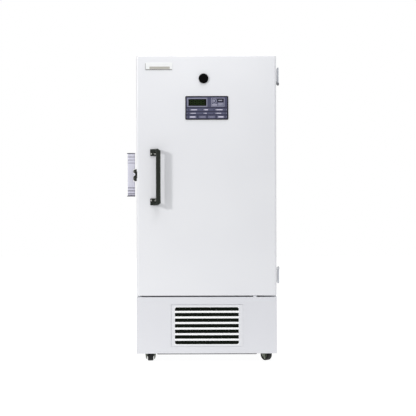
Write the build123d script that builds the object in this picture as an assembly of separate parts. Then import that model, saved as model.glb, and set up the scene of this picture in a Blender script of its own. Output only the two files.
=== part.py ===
from build123d import *
import os
import math

# Upright ultra low temperature freezer. Millimetres, +Z up, front towards -Y,
# origin on the floor under the centre of the body.

# ---------------------------------------------------------------- dimensions
W = 906.0            # body width
H = 1980.0           # overall height
HX = W / 2           # half width
Y_FRONT = -470.0     # front face of door and base
Y_DOOR_IN = -378.0   # rear plane of the door slab
Y_CAB = -366.0       # front plane of the insulated cabinet
Y_BACK = 470.0       # rear face of the cabinet
SHEET = 1.5          # steel sheet thickness
Z_SKIRT = 54.0       # lower edge of the base skirt
Z_BASE = 419.0       # top of the machine base
Z_DOOR = 428.0       # lower edge of the door
R_EDGE = 14.0        # rounded vertical front edges of the door

CH_X = 292.5         # chamber half width
CH_Z0, CH_Z1 = 566.0, 1832.0   # chamber floor and ceiling
CH_Y1 = 330.0        # chamber rear wall
TANK_T = 1.5         # inner tank sheet

HINGE_X, HINGE_Y = 471.0, -372.0      # outer door hinge axis
IH_X, IH_Y = 296.0, -370.0            # inner door hinge axis
LATCH_X, LATCH_Y = -466.0, -398.0     # latch lever pin

PIN_R = 3.0
RUN = 0.05           # running clearance, radial

# control panel
CP_X0, CP_X1, CP_Z0, CP_Z1 = -136.0, 142.4, 1567.0, 1721.0
WIN = (-115.9, 0.6, 1656.3, 1701.6)
KEYS = {"key_set": -88.0, "key_up": -24.0, "key_down": 33.5, "key_mute": 94.0}
KEY_Z, KEY_W, KEY_H = 1585.0, 47.0, 16.0

# vent valve
VV_X, VV_Z = -17.6, 1834.6

# grille cover
GR_X0, GR_X1, GR_Z0, GR_Z1 = -229.0, 233.0, 100.0, 370.0
SLOT_W, SLOT_H, SLOT_PITCH, SLOT_Z = 413.7, 23.4, 36.1, 342.0
GR_PX, GR_PY = -227.5, -468.6         # its pivot axis, at the left front edge

# casters
WHEEL_R, WHEEL_W, TRAIL, AXLE_R = 37.5, 36.0, 28.0, 5.0
CASTERS = {
    "fl": (-370.0, -380.0, 4.0),
    "fr": (370.0, -380.0, 40.0),
    "rl": (-370.0, 380.0, 168.0),
    "rr": (370.0, 380.0, 205.0),
}
Z_PAN = 108.0

FAN_Z = 231.0        # fan and condenser centre height
FAN_Y = -352.0

os.makedirs("parts", exist_ok=True)


# ------------------------------------------------------------------- helpers
def bx(x0, x1, y0, y1, z0, z1):
    return Pos((x0 + x1) / 2, (y0 + y1) / 2, (z0 + z1) / 2) * Box(
        abs(x1 - x0), abs(y1 - y0), abs(z1 - z0)
    )


def cz(x, y, z0, z1, r):
    return Pos(x, y, (z0 + z1) / 2) * Cylinder(r, abs(z1 - z0))


def cy(x, z, y0, y1, r):
    return Pos(x, (y0 + y1) / 2, z) * Rot(90, 0, 0) * Cylinder(r, abs(y1 - y0))


def cx(y, z, x0, x1, r):
    return Pos((x0 + x1) / 2, y, z) * Rot(0, 90, 0) * Cylinder(r, abs(x1 - x0))


def xz(sketch, y0, y1):
    """Extrude a sketch drawn in x, z from y0 to y1."""
    pl = Plane(origin=(0, y1, 0), x_dir=(1, 0, 0), z_dir=(0, -1, 0))
    return extrude(pl * sketch, amount=y1 - y0, dir=(0, -1, 0))


def yz(sketch, x0, x1):
    """Extrude a sketch drawn in y, z from x0 to x1."""
    pl = Plane(origin=(x0, 0, 0), x_dir=(0, 1, 0), z_dir=(1, 0, 0))
    return extrude(pl * sketch, amount=x1 - x0, dir=(1, 0, 0))


def xy(sketch, z0, z1):
    """Extrude a sketch drawn in x, y from z0 to z1."""
    return extrude(Plane(origin=(0, 0, z0)) * sketch, amount=z1 - z0, dir=(0, 0, 1))


def poly(*pts):
    return Polygon(*pts, align=None)


def rr(x0, x1, z0, z1, r):
    return Pos((x0 + x1) / 2, (z0 + z1) / 2) * RectangleRounded(x1 - x0, z1 - z0, r)


def tube(pts, r, bend):
    path = FilletPolyline(*pts, radius=bend)
    pl = Plane(origin=path @ 0, z_dir=path % 0)
    return sweep(pl * Circle(r), path=path)


def save(name, *shapes):
    sol = []
    for s in shapes:
        sol += list(s.solids())
    out = sol[0] if len(sol) == 1 else Compound(children=sol)
    export_step(out, f"parts/{name}.step")


# ==================================================================== CABINET
# outer sheet shell, open at the front, with narrow return flanges
shell = bx(-HX, HX, Y_CAB, Y_BACK, Z_BASE, H) - bx(
    -HX + SHEET, HX - SHEET, Y_CAB, Y_BACK - SHEET, Z_BASE + SHEET, H - SHEET
)
flange = bx(-HX + 1, HX - 1, Y_CAB, Y_CAB + SHEET, Z_BASE + 1, H - 1) - bx(
    -HX + 16, HX - 16, Y_CAB - 1, Y_CAB + SHEET + 1, Z_BASE + 16, H - 16
)
shell += flange
PORT_X, PORT_Z = -200.0, 1600.0
shell -= cy(PORT_X, PORT_Z, Y_BACK - 5, Y_BACK + 5, 16.2)
RISER_IN = (120.0, 336.5)
RISER_OUT = (-100.0, 372.0)
for rx, ry in (RISER_IN, RISER_OUT):
    shell -= cz(rx, ry, Z_BASE - 5, Z_BASE + 5, 6.0)
save("cabinet_shell", shell)

# front breaker frame around the chamber mouth
breaker = bx(-HX + 16.2, HX - 16.2, Y_CAB, Y_CAB + 4, Z_BASE + 16.2, H - 16.2) - bx(
    -CH_X, CH_X, Y_CAB - 1, Y_CAB + 5, CH_Z0, CH_Z1
)
save("breaker_frame", breaker)

# inner tank, five sides
TY0 = Y_CAB + 4
tank = bx(-CH_X - TANK_T, CH_X + TANK_T, TY0, CH_Y1 + TANK_T, CH_Z0 - TANK_T, CH_Z1 + TANK_T)
tank = fillet(tank.edges().filter_by(Axis.Y), 13.5)
tin = bx(-CH_X, CH_X, TY0 - 20, CH_Y1, CH_Z0, CH_Z1)
tin = fillet(tin.edges().filter_by(Axis.Y), 12.0)
tank -= tin
tank -= cy(PORT_X, PORT_Z, CH_Y1 - 5, CH_Y1 + 5, 16.2)
save("inner_tank", tank)

# evaporator: one serpentine tube wrapped round the sides and rear of the tank
EX, EY0, EY1 = CH_X + 6.5, -300.0, CH_Y1 + 6.5
levels = [650.0 + 150.0 * k for k in range(8)]
pts = [(RISER_IN[0], EY1, 403.0), (RISER_IN[0], EY1, levels[0]), (-EX, EY1, levels[0]), (-EX, EY0, levels[0])]
side = -1
for z in levels[1:-1]:
    pts += [(side * EX, EY0, z), (side * EX, EY1, z), (-side * EX, EY1, z), (-side * EX, EY0, z)]
    side = -side
z = levels[-1]
pts += [
    (side * EX, EY0, z),
    (side * EX, EY1, z),
    (RISER_OUT[0], EY1, z),
    (RISER_OUT[0], RISER_OUT[1], z),
    (RISER_OUT[0], RISER_OUT[1], 403.0),
]
coil = tube(pts, 4.0, 7.0)
save("evaporator_coil", coil)

# insulation with grooves for the tube
foam = bx(-HX + SHEET, HX - SHEET, TY0, Y_BACK - SHEET, Z_BASE + SHEET, H - SHEET)
foam -= bx(-CH_X - TANK_T, CH_X + TANK_T, TY0 - 1, CH_Y1 + TANK_T, CH_Z0 - TANK_T, CH_Z1 + TANK_T)
cuts = []
for a, b in zip(pts[:-1], pts[1:]):
    lo = [min(p, q) - 5.0 for p, q in zip(a, b)]
    hi = [max(p, q) + 5.0 for p, q in zip(a, b)]
    cuts.append(bx(lo[0], hi[0], lo[1], hi[1], lo[2], hi[2]))
cuts.append(cy(PORT_X, PORT_Z, CH_Y1 - 5, Y_BACK + 5, 16.2))
foam -= cuts
save("insulation_foam", foam)

# access port through the rear wall: sleeve with a flange, and its plug
sleeve = cy(PORT_X, PORT_Z, CH_Y1 - 3, Y_BACK, 16.0) + cy(PORT_X, PORT_Z, Y_BACK, Y_BACK + 4, 26.0)
sleeve -= cy(PORT_X, PORT_Z, CH_Y1 - 4, Y_BACK + 5, 12.5)
plug = cy(PORT_X, PORT_Z, CH_Y1 - 2, Y_BACK + 4.2, 12.4) + cy(PORT_X, PORT_Z, Y_BACK + 4.2, Y_BACK + 14, 18.0)
save("access_port", sleeve, plug)

# slotted shelf rails on the side walls, with their clips
SHELF_Z = [882.5, 1199.0, 1515.5]
rails, clips = [], []
for sx in (-1, 1):
    for ry in (-230.0, 210.0):
        rail = bx(sx * CH_X, sx * (CH_X - 4), ry - 9, ry + 9, CH_Z0 + 14, CH_Z1 - 14)
        holes = [bx(sx * (CH_X + 1), sx * (CH_X - 5), ry - 3, ry + 3, zz, zz + 12) for zz in range(600, 1800, 40)]
        rails.append(rail - holes)
        for sz in SHELF_Z:
            clips.append(
                bx(sx * (CH_X - 4.05), sx * (CH_X - 16), ry - 7, ry + 7, sz - 3.0, sz - 0.05)
                + bx(sx * (CH_X - 4.05), sx * (CH_X - 7), ry - 7, ry + 7, sz - 18, sz - 3.0)
            )
save("shelf_supports", *rails, *clips)

# folded stainless shelves with a front and a rear lip
shelves = []
for sz in SHELF_Z:
    s = bx(-CH_X + 9, CH_X - 9, -316, 318, sz, sz + 1.5)
    s += bx(-CH_X + 9, CH_X - 9, -316, -314.5, sz - 22, sz)
    s += bx(-CH_X + 9, CH_X - 9, 316.5, 318, sz, sz + 22)
    shelves.append(s)
save("shelves", *shelves)

# outer door hinges, cabinet side: joggled leaf with a long barrel
HB = [(1819.5, 1918.5), (500.0, 590.5)]       # barrels
HL = [(1804.5, 1818.5), (591.5, 605.5)]       # door lugs
leaves = []
for z0, z1 in HB:
    prof = poly(
        (HINGE_X - 2.0, HINGE_Y), (HINGE_X + 1.0, HINGE_Y), (HINGE_X + 1.0, -334.0), (456.5, -320.0), (456.5, -262.0),
        (453.0, -262.0), (453.0, -322.0), (HINGE_X - 2.0, -336.0),
    )
    leaf = xy(prof, z0, z1) + cz(HINGE_X, HINGE_Y, z0, z1, 5.2)
    leaf -= cz(HINGE_X, HINGE_Y, z0 - 1, z1 + 1, PIN_R + 0.03)
    leaves.append(leaf)
save("hinge_brackets", *leaves)

# hinge pins: two for the outer door, four lift-off pins with plates for the inner doors
IZ = {"upper": (1262.0, 1770.0), "lower": (628.0, 1136.0)}
pins = [
    cz(HINGE_X, HINGE_Y, 1800.0, 1918.0, PIN_R) + cz(HINGE_X, HINGE_Y, 1800.0, 1803.5, 5.2),
    cz(HINGE_X, HINGE_Y, 500.5, 610.0, PIN_R) + cz(HINGE_X, HINGE_Y, 606.5, 610.0, 5.2),
]
for zs in IZ.values():
    for zc in zs:
        p = bx(300.0, 326.0, -369.5, Y_CAB - 0.02, zc - 14, zc + 10)
        p += bx(IH_X, 301.0, -372.5, -367.5, zc - 14, zc - 4)
        p += cz(IH_X, IH_Y, zc - 14, zc - 4, 2.5)
        p += cz(IH_X, IH_Y, zc - 4, zc + 10, 1.8)
        pins.append(p)
save("hinge_pins", *pins)

# latch keeper on the cabinet's left side: two lugs and an upright post
kx, ky = LATCH_X, -360.0
keeper = bx(-HX - 4, -HX, -365, -318, 1186, 1247)
for z0, z1 in ((1196.0, 1203.0), (1230.0, 1237.0)):
    keeper += bx(kx, -HX - 3, ky - 5.9, ky + 5.9, z0, z1) + cz(kx, ky, z0, z1, 6.0)
keeper += cz(kx, ky, 1203, 1230, 4.0)
for zz in (1191.0, 1242.0):
    keeper -= cx(-330.0, zz, -HX - 5, -HX + 1, 2.6)
save("latch_keeper", keeper)

# wall brackets at the top of the rear face
wb = []
for wx in (-300.0, 300.0):
    prof = poly((470, 1840), (473, 1840), (473, 1896), (492, 1912), (492, 1952), (488, 1952), (488, 1914), (470, 1899))
    b = yz(prof, wx - 25, wx + 25)
    b -= cy(wx, 1932.0, 486, 494, 4.5)
    b -= cy(wx - 12, 1868.0, 468, 475, 3.0)
    b -= cy(wx + 12, 1868.0, 468, 475, 3.0)
    wb.append(b)
save("wall_brackets", *wb)

# ======================================================= MACHINE COMPARTMENT
# skirt: front and two sides in one folded sheet, with a ledge under the door
HOLE_X0, HOLE_X1, HOLE_Z0, HOLE_Z1 = GR_X0 - 2.0, GR_X1 + 1.0, GR_Z0 - 1.0, GR_Z1 + 2.0
skirt = bx(-HX, HX, Y_FRONT, Y_BACK, Z_SKIRT, Z_BASE)
skirt = fillet(skirt.edges().filter_by(Axis.Z).group_by(Axis.Y)[0], 5.0)
hollow = bx(-HX + SHEET, HX - SHEET, Y_FRONT + SHEET, Y_BACK + 1, Z_SKIRT - 1, Z_BASE - SHEET)
hollow = fillet(hollow.edges().filter_by(Axis.Z).group_by(Axis.Y)[0], 5.0 - SHEET)
skirt -= hollow
skirt -= bx(-HX + 30, HX - 30, -330, Y_BACK + 1, Z_BASE - 5, Z_BASE + 1)
ring = bx(-250, 250, -469.0, -465.0, 84, 386)
ring -= bx(HOLE_X0, HOLE_X1, -470, -466.4, HOLE_Z0, HOLE_Z1)
ring -= bx(-222, 222, -470, -460, 108, 362)
skirt -= bx(HOLE_X0, HOLE_X1, Y_FRONT - 1, Y_FRONT + 4, HOLE_Z0, HOLE_Z1)
skirt += ring
skirt -= cz(GR_PX, GR_PY, HOLE_Z1 - 1, HOLE_Z1 + 6, 1.06)
skirt -= cz(GR_PX, GR_PY, HOLE_Z0 - 6, HOLE_Z0 + 1, 1.06)
save("base_skirt", skirt)

# pan that carries the machinery, on the caster plates
pan = bx(-HX + 2, HX - 2, -466.0, 466.0, Z_PAN, Z_PAN + 26)
pan -= bx(-HX + 4.5, HX - 4.5, -463.5, 463.5, Z_PAN + 3, Z_PAN + 40)
pan -= bx(-256, 256, -470, -430, Z_PAN - 20, Z_PAN + 40)
save("base_pan", pan)

# louvred rear cover
IN_X, IN_Z = 345.0, 300.0       # power inlet centre
rear = bx(-HX + 1.7, HX - 1.7, Y_BACK - SHEET, Y_BACK, Z_SKIRT + 2, Z_BASE - 1.7)
louv = []
for gx in (-220.0, 60.0):
    for k in range(11):
        zz = 110 + k * 24
        louv.append(bx(gx - 105, gx + 105, Y_BACK - 4, Y_BACK + 1, zz, zz + 7))
rear -= louv
rear -= bx(IN_X - 32, IN_X + 66, Y_BACK - 4, Y_BACK + 1, IN_Z - 26, IN_Z + 26)
save("rear_cover", rear)

# grille cover: moulded panel with seven slots and two pivot pips
grille = xz(rr(GR_X0, GR_X1, GR_Z0, GR_Z1, 2.5), -470.5, -467.5)
for k in range(7):
    zc = SLOT_Z - k * SLOT_PITCH
    sl = rr(-SLOT_W / 2, SLOT_W / 2, zc - SLOT_H / 2, zc + SLOT_H / 2, 3.0)
    if k in (0, 6):
        s = 1 if k == 0 else -1
        zo, zi = zc + s * SLOT_H / 2, zc - s * SLOT_H / 2
        a, b = SLOT_W / 2, 12.0
        sk = poly((-a, zi), (a, zi), (a, zo - s * b), (a - b, zo), (-a + b, zo), (-a, zo - s * b))
        sk = sk + Pos(a - b, zo - s * b) * Circle(b) + Pos(-a + b, zo - s * b) * Circle(b)
        cut = xz(sk, -472, -466) & bx(-300, 300, -472, -466, zc - SLOT_H / 2, zc + SLOT_H / 2)
        grille -= cut
    else:
        grille -= xz(sl, -472, -466)
grille += cz(GR_PX, GR_PY, GR_Z1 - 1, GR_Z1 + 4.5, 1.0) + cz(GR_PX, GR_PY, GR_Z0 - 4.5, GR_Z0 + 1, 1.0)
# four hooks behind the panel that hold the filter frame
for hz in (150.0, 320.0):
    for hx in (-217.5, 216.0):
        grille += bx(hx, hx + 1.5, -467.5, -458.0, hz - 8, hz + 8)
save("grille_cover", grille)

# air filter: rim and pleated medium
filt = bx(-215.8, 215.8, -467.3, -459.0, 112, 356) - bx(-207, 207, -468, -458, 121, 347)
zig = [(-207.5 + 415 * i / 60, -461.0 if i % 2 else -465.0) for i in range(61)]
zig2 = [(x, y + 1.4) for x, y in reversed(zig)]
filt += xy(poly(*(zig + zig2)), 120.5, 347.5)
save("air_filter", filt)

# condenser: plate fins on straight tubes
CZ0, CZ1 = 118.0, 344.0
cond = bx(-192, -189.5, -442, -388, CZ0 - 7, CZ1) + bx(189.5, 192, -442, -388, CZ0 - 7, CZ1)
fins = [bx(-189.5 + 12.63 * i - 0.5, -189.5 + 12.63 * i + 0.5, -440, -390, CZ0, CZ1) for i in range(1, 30)]
ctubes = [cx(yy, CZ0 + 14 + 28 * j, -198, 198, 4.8) for yy in (-428.0, -402.0) for j in range(8)]
cond += fins
cond += ctubes

# fan shroud: plate with a round inlet ring and side returns
shroud = bx(-196, 196, -386, -383.5, Z_PAN + 3.05, CZ1)
shroud += bx(-196, -193.5, -440, -383.5, Z_PAN + 3.05, CZ1) - bx(-197, -193, -441, -387, CZ0 + 4, CZ1 - 6)
shroud += bx(193.5, 196, -440, -383.5, Z_PAN + 3.05, CZ1)
shroud += cy(0, FAN_Z, -386, -345, 107.5)
shroud -= cy(0, FAN_Z, -400, -340, 105.5)
save("condenser", cond, shroud)

# fan motor with a strap bracket
motor = cy(0, FAN_Z, -334, -276, 36.0)
motor = fillet(motor.edges().filter_by(GeomType.CIRCLE), 4.0)
motor += cy(0, FAN_Z, -340, -334, 14.0)
for sx in (-1, 1):
    motor += bx(sx * 30, sx * 128, -292, -289, FAN_Z - 9, FAN_Z + 9)
    motor += bx(sx * 125, sx * 128, -383.45, -289, FAN_Z - 9, FAN_Z + 9)
motor -= cy(0, FAN_Z, -345, -300, 4.0 + RUN)
save("fan_motor", motor)

# fan: hub, shaft and five pitched blades
fan = cy(0, FAN_Z, FAN_Y - 14, FAN_Y + 9, 24.0)
fan = fillet(fan.edges().filter_by(GeomType.CIRCLE).group_by(Axis.Y)[0], 5.0)
fan += cy(0, FAN_Z, FAN_Y, -304, 4.0)
for k in range(5):
    blade = Pos(60, 0, 0) * Rot(28, 0, 0) * Box(80, 2.2, 46)
    blade = blade & Rot(90, 0, 0) * Cylinder(101, 60)
    fan += Pos(0, FAN_Y - 4, FAN_Z) * Rot(0, 72 * k, 0) * blade
save("fan_blades", fan)

# two hermetic compressors on feet, with connection stubs
comps, groms = [], []
for cxx, cyy in ((-220.0, 0.0), (180.0, 20.0)):
    c = cz(cxx, cyy, 138, 310, 90)
    c = fillet(c.edges().filter_by(GeomType.CIRCLE).group_by(Axis.Z)[1], 34)
    c += cz(cxx, cyy, 216, 222, 93)
    c += bx(cxx - 104, cxx + 104, cyy - 60, cyy + 60, 134, 139)
    c += bx(cxx + 85, cxx + 112, cyy - 24, cyy + 24, 200, 262)
    c += cy(cxx, 270, cyy - 107, cyy - 60, 6.5) + cy(cxx, 270, cyy + 60, cyy + 107, 6.5)
    for fx in (-90, 90):
        for fy in (-46, 46):
            c -= cz(cxx + fx, cyy + fy, 130, 145, 7.1)
            g = cz(cxx + fx, cyy + fy, Z_PAN + 3.05, 133.9, 13.0) + cz(cxx + fx, cyy + fy, 133.9, 145, 7.0)
            groms.append(g)
    comps.append(c)
save("compressors", *comps)
save("compressor_grommets", *groms)

# cascade heat exchanger in an insulated jacket
hx = cz(-20, 330, Z_PAN + 3.05, 360, 75)
hx = fillet(hx.edges().filter_by(GeomType.CIRCLE).group_by(Axis.Z)[-1], 12)
save("heat_exchanger", hx)

# electrical box with the power inlet and rocker in the rear face
ebox = bx(250, 445, 250, 438, 130, 352)
ebox = fillet(ebox.edges().filter_by(Axis.Z), 4.0)
ebox -= bx(253, 442, 300, 439, 133, 349)
ebox += bx(250, 262, 250, 438, Z_PAN + 3.05, 131) + bx(433, 445, 250, 438, Z_PAN + 3.05, 131)
save("control_box", ebox)

inlet = bx(IN_X - 30, IN_X + 64, 441, Y_BACK, IN_Z - 24, IN_Z + 24) + bx(
    IN_X - 34, IN_X + 68, Y_BACK, Y_BACK + 2.5, IN_Z - 28, IN_Z + 28
)
inlet -= bx(IN_X - 16, IN_X + 16, 448, 480, IN_Z - 12, IN_Z + 12)
for px in (-9.0, 0.0, 9.0):
    pz = 3.5 if px == 0 else -3.5
    inlet += bx(IN_X + px - 1.5, IN_X + px + 1.5, 447, 462, IN_Z + pz - 4, IN_Z + pz + 4)
SW_X, SW_Y = IN_X + 44, 465.5
inlet -= bx(SW_X - 9, SW_X + 9, 455, 480, IN_Z - 15.5, IN_Z + 15.5)
inlet -= cx(SW_Y, IN_Z, SW_X - 12, SW_X + 12, 1.55)
save("power_inlet", inlet)

# rocker: two faces meeting at a shallow angle, resting at -8 degrees
rk = poly((-6.0, -11.5), (4.5, -11.5), (7.0, 0.0), (4.5, 11.5), (-6.0, 11.5))
rocker = extrude(Plane(origin=(SW_X - 8.6, SW_Y, IN_Z), x_dir=(0, 1, 0), z_dir=(1, 0, 0)) * rk, amount=17.2, dir=(1, 0, 0))
rocker += cx(SW_Y, IN_Z, SW_X - 11.8, SW_X + 11.8, 1.5)
rocker = Pos(0, SW_Y, IN_Z) * Rot(-8, 0, 0) * Pos(0, -SW_Y, -IN_Z) * rocker
save("power_switch", rocker)

# refrigerant lines, with the filter drier in the liquid line
lines = [
    tube([(-220, -107.2, 270), (-220, -415, 270), (-220, -415, 330), (-199, -415, 330)], 4.8, 12),
    tube([(-199, -415, 135), (-345, -415, 135), (-345, 200, 135), (-345, 200, 149.8)], 4.0, 9),
    tube([(-345, 200, 270.2), (-345, 200, 300), (-345, 330, 300), (-95.2, 330, 300)], 4.0, 12),
    tube([(20, 336.5, 360.2), (20, 336.5, 381), (120, 336.5, 381), (120, 336.5, 402.8)], 4.0, 9),
    tube([(-100, 372, 402.8), (-100, 372, 320), (-100, 430, 320), (180, 430, 320), (180, 180, 320), (180, 180, 270), (180, 127.2, 270)], 4.8, 14),
    tube([(180, -87.2, 270), (180, -150, 270), (0, -150, 270), (0, 255.8, 270)], 4.8, 14),
    tube([(-220, 107.2, 270), (-220, 300, 270), (-91.6, 300, 270)], 4.8, 14),
]
drier = cz(-345, 200, 150, 270, 16)
drier = fillet(drier.edges().filter_by(GeomType.CIRCLE), 8)
save("refrigerant_lines", drier, *lines)

# ==================================================================== CASTERS
plates = []
for px, py, _ in CASTERS.values():
    p = bx(px - 48, px + 48, py - 37, py + 37, 103, Z_PAN) + cz(px, py, 99.5, 103, 29)
    for fx in (-38, 38):
        for fy in (-27, 27):
            p += cz(px + fx, py + fy, 98, 103, 6.5)
    p -= cz(px, py, 95, Z_PAN + 1, 7.06)
    plates.append(p)
save("caster_plates", *plates)


def place(shape, px, py, ang):
    return Pos(px, py, 0) * Rot(0, 0, ang) * shape


for key, (px, py, ang) in CASTERS.items():
    front = key[0] == "f"
    fork = bx(-26.5, 26.5, -42, 22, 88, 93) + cz(0, 0, 88, 99, 27) + cz(0, 0, 99, 107.5, 7.0)
    leg = poly((20, 92), (-42, 92), (-40.5, 36), (-36, 28), (-28, 25), (-20, 28), (-14, 44), (20, 84))
    for x0, x1 in ((-26.5, -22.5), (22.5, 26.5)):
        fork += yz(leg, x0, x1)
    fork += bx(-35, 35, -42, -18, 88, 93)
    for s in (-1, 1):
        fork += xz(poly((s * 22, 92), (s * 35, 92), (s * 35, 46), (s * 31, 22), (s * 27, 12), (s * 22, 12)), -42, -38.2)
    pieces = []
    if front:
        fork += bx(-20.5, -16.5, -55, -41, 77, 93) + bx(16.5, 20.5, -55, -41, 77, 93) + bx(-26.5, 26.5, -55, -41, 90, 93)
        fork -= cx(-48.5, 82, -30, 30, 2.55)
        pieces.append(cx(-48.5, 82, -21.5, 21.5, 2.5))
    fork -= cx(-TRAIL, WHEEL_R, -30, 30, AXLE_R + 0.05)
    axle = cx(-TRAIL, WHEEL_R, -30.5, 30.5, AXLE_R)
    for s in (-1, 1):
        hexa = Plane(origin=(s * 26.6, -TRAIL, WHEEL_R), x_dir=(0, 1, 0), z_dir=(s, 0, 0)) * RegularPolygon(8.5, 6)
        axle += extrude(hexa, amount=6.5)
    pieces.append(axle)
    save(f"caster_fork_{key}", place(fork, px, py, ang), *[place(p, px, py, ang) for p in pieces])

    wheel = cx(-TRAIL, WHEEL_R, -WHEEL_W / 2, WHEEL_W / 2, WHEEL_R)
    wheel = fillet(wheel.edges().filter_by(GeomType.CIRCLE), 5.0)
    for s in (-1, 1):
        wheel -= cx(-TRAIL, WHEEL_R, s * 15, s * 19, 25) - cx(-TRAIL, WHEEL_R, s * 15, s * 19, 12)
    wheel += cx(-TRAIL, WHEEL_R, -21.5, 21.5, 11)
    wheel -= cx(-TRAIL, WHEEL_R, -25, 25, AXLE_R + RUN)
    save(f"caster_wheel_{key}", place(wheel, px, py, ang))
    if front:
        ped = cx(-48.5, 82, -15.5, 15.5, 5.0) + bx(-8, 8, -52, -45.5, 72.6, 82)
        arm = poly((-50, 86.5), (-47, 82.5), (-70, 75.5), (-74, 77), (-73, 80))
        ped += yz(arm, -15.5, 15.5)
        ped -= cx(-48.5, 82, -20, 20, 2.5 + RUN)
        save(f"brake_pedal_{key}", place(ped, px, py, ang))

# ================================================================= OUTER DOOR
PKT = (-118.0, 124.0, 1577.0, 1711.0)     # control module behind the bezel
dsh = bx(-HX, HX, Y_FRONT, Y_DOOR_IN, Z_DOOR, H)
dsh = fillet(dsh.edges().filter_by(Axis.Z).group_by(Axis.Y)[0], R_EDGE)
dsh = fillet(dsh.faces().sort_by(Axis.Y)[0].edges().filter_by(Axis.X), 4.0)
din = bx(-HX + SHEET, HX - SHEET, Y_FRONT + SHEET, Y_DOOR_IN + 1, Z_DOOR + SHEET, H - SHEET)
din = fillet(din.edges().filter_by(Axis.Z).group_by(Axis.Y)[0], R_EDGE - SHEET)
din = fillet(din.faces().sort_by(Axis.Y)[0].edges().filter_by(Axis.X), 4.0 - SHEET)
dshell = dsh - din
dshell -= bx(PKT[0] - 1, PKT[1] + 1, Y_FRONT - 1, Y_FRONT + 4, PKT[2] - 1, PKT[3] + 1)
dshell -= cy(VV_X, VV_Z, Y_FRONT - 1, Y_FRONT + 4, 25.0)
save("door_shell", dshell)

# liner with a shallow raised field facing the chamber
LX, LZ0, LZ1 = 258.0, CH_Z0 + 12, CH_Z1 - 12
liner = bx(-HX + 1.7, HX - 1.7, Y_DOOR_IN - 3, Y_DOOR_IN, Z_DOOR + 1.7, H - 1.7)
liner = fillet(liner.edges().filter_by(Axis.Y), 4.0)
field = bx(-LX, LX, Y_DOOR_IN - 3, Y_DOOR_IN + 7, LZ0, LZ1)
field = fillet(field.edges().filter_by(Axis.Y), 14.0)
pocket = bx(-LX + 3, LX - 3, Y_DOOR_IN - 4, Y_DOOR_IN + 4, LZ0 + 3, LZ1 - 3)
liner = liner + field - pocket
liner -= cy(VV_X, VV_Z, -400, -360, 11.3)
save("door_liner", liner)

dfoam = bx(-HX + SHEET, HX - SHEET, Y_FRONT + SHEET, Y_DOOR_IN - 3, Z_DOOR + SHEET, H - SHEET)
dfoam = fillet(dfoam.edges().filter_by(Axis.Z).group_by(Axis.Y)[0], R_EDGE - SHEET)
dfoam = fillet(dfoam.faces().sort_by(Axis.Y)[0].edges().filter_by(Axis.X), 4.0 - SHEET)
dfoam += bx(-LX + 3.1, LX - 3.1, Y_DOOR_IN - 3.1, Y_DOOR_IN + 4, LZ0 + 3.1, LZ1 - 3.1)
dfoam -= bx(PKT[0] - 1, PKT[1] + 1, -475, -433, PKT[2] - 1, PKT[3] + 1)
dfoam -= cy(VV_X, VV_Z, -475, -444.5, 25.0)
dfoam -= cy(VV_X, VV_Z, -475, -360, 11.3)
save("door_foam", dfoam)

# magnetic gasket, a frame of base strip and two ribs
def frame_ring(x_out, z_lo, z_hi, wdt, y0, y1):
    return bx(-x_out, x_out, y0, y1, z_lo, z_hi) - bx(
        -x_out + wdt, x_out - wdt, y0 - 1, y1 + 1, z_lo + wdt, z_hi - wdt
    )


gask = frame_ring(398, 476, 1922, 30, Y_DOOR_IN, Y_DOOR_IN + 4)
gask += frame_ring(394, 480, 1918, 13, Y_DOOR_IN + 4, Y_CAB - 0.4)
gask += frame_ring(377, 497, 1901, 5, Y_DOOR_IN + 4, Y_CAB - 2.5)
save("door_gasket", gask)

# hinge lugs on the door
lugs = []
for z0, z1 in HL:
    g = bx(HX, HX + 3.5, -452, -384, z0, z1)
    g += xy(poly((HX, -400), (HX + 3.5, -400), (471, -379.4), (464, -374), (HX + 3.5, -381), (HX, -386)), z0, z1)
    g += cz(HINGE_X, HINGE_Y, z0, z1, 7.5)
    g -= cz(HINGE_X, HINGE_Y, z0 - 1, z1 + 1, PIN_R + RUN)
    lugs.append(g)
save("hinge_lugs", *lugs)

# offset pull handle: two feet, slanted legs and a bar, in one casting
HZ0, HZ1 = 1014.5, 1377.5
leg = poly(
    (-364.5, -470), (-364.5, -475), (-360, -478), (-342, -480), (-331, -492), (-324, -512), (-324, -530),
    (-318, -534), (-301, -534), (-295, -528), (-295, -508), (-307, -486), (-318, -470),
)
handle = xy(leg, HZ1 - 17.5, HZ1) + xy(leg, HZ0, HZ0 + 17.5)
foot = poly((-364.5, -470), (-364.5, -475), (-360, -478), (-342, -480), (-328, -480), (-323.5, -476), (-323.5, -470))
handle += xy(foot, HZ1 - 44.0, HZ1 - 17) + xy(foot, HZ0 + 17, HZ0 + 44)
barp = poly(
    (-324, -512), (-324, -530), (-318, -534), (-301, -534), (-295, -528), (-295, -514), (-300, -508), (-319, -508),
)
handle += xy(barp, HZ0, HZ1)
for zc, s in ((HZ1, 1), (HZ0, -1)):
    wedge = xz(poly((-312, zc + s * 0.5), (-294, zc - s * 14), (-294, zc + s * 0.5)), -540, -468)
    handle -= wedge
    slope = yz(poly((-540, zc - s * 9), (-522, zc + s * 0.5), (-540, zc + s * 0.5)), -330, -290)
    handle -= slope
for zc, s in ((HZ1, -1), (HZ1 - 44.0, 1), (HZ0, 1), (HZ0 + 44.0, -1)):
    corner = Pos(-362.5, zc + s * 2.5) * Rectangle(5, 5) - Pos(-360, zc + s * 5) * Circle(5.0)
    handle -= xz(corner, -485, -465)
SCREWS = [(-356.5, 1346.5), (-331.0, 1346.5), (-356.5, 1045.5), (-331.0, 1045.5)]
for sx_, sz_ in SCREWS:
    handle -= cy(sx_, sz_, -485, -465, 3.2)
save("door_handle", handle)

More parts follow.
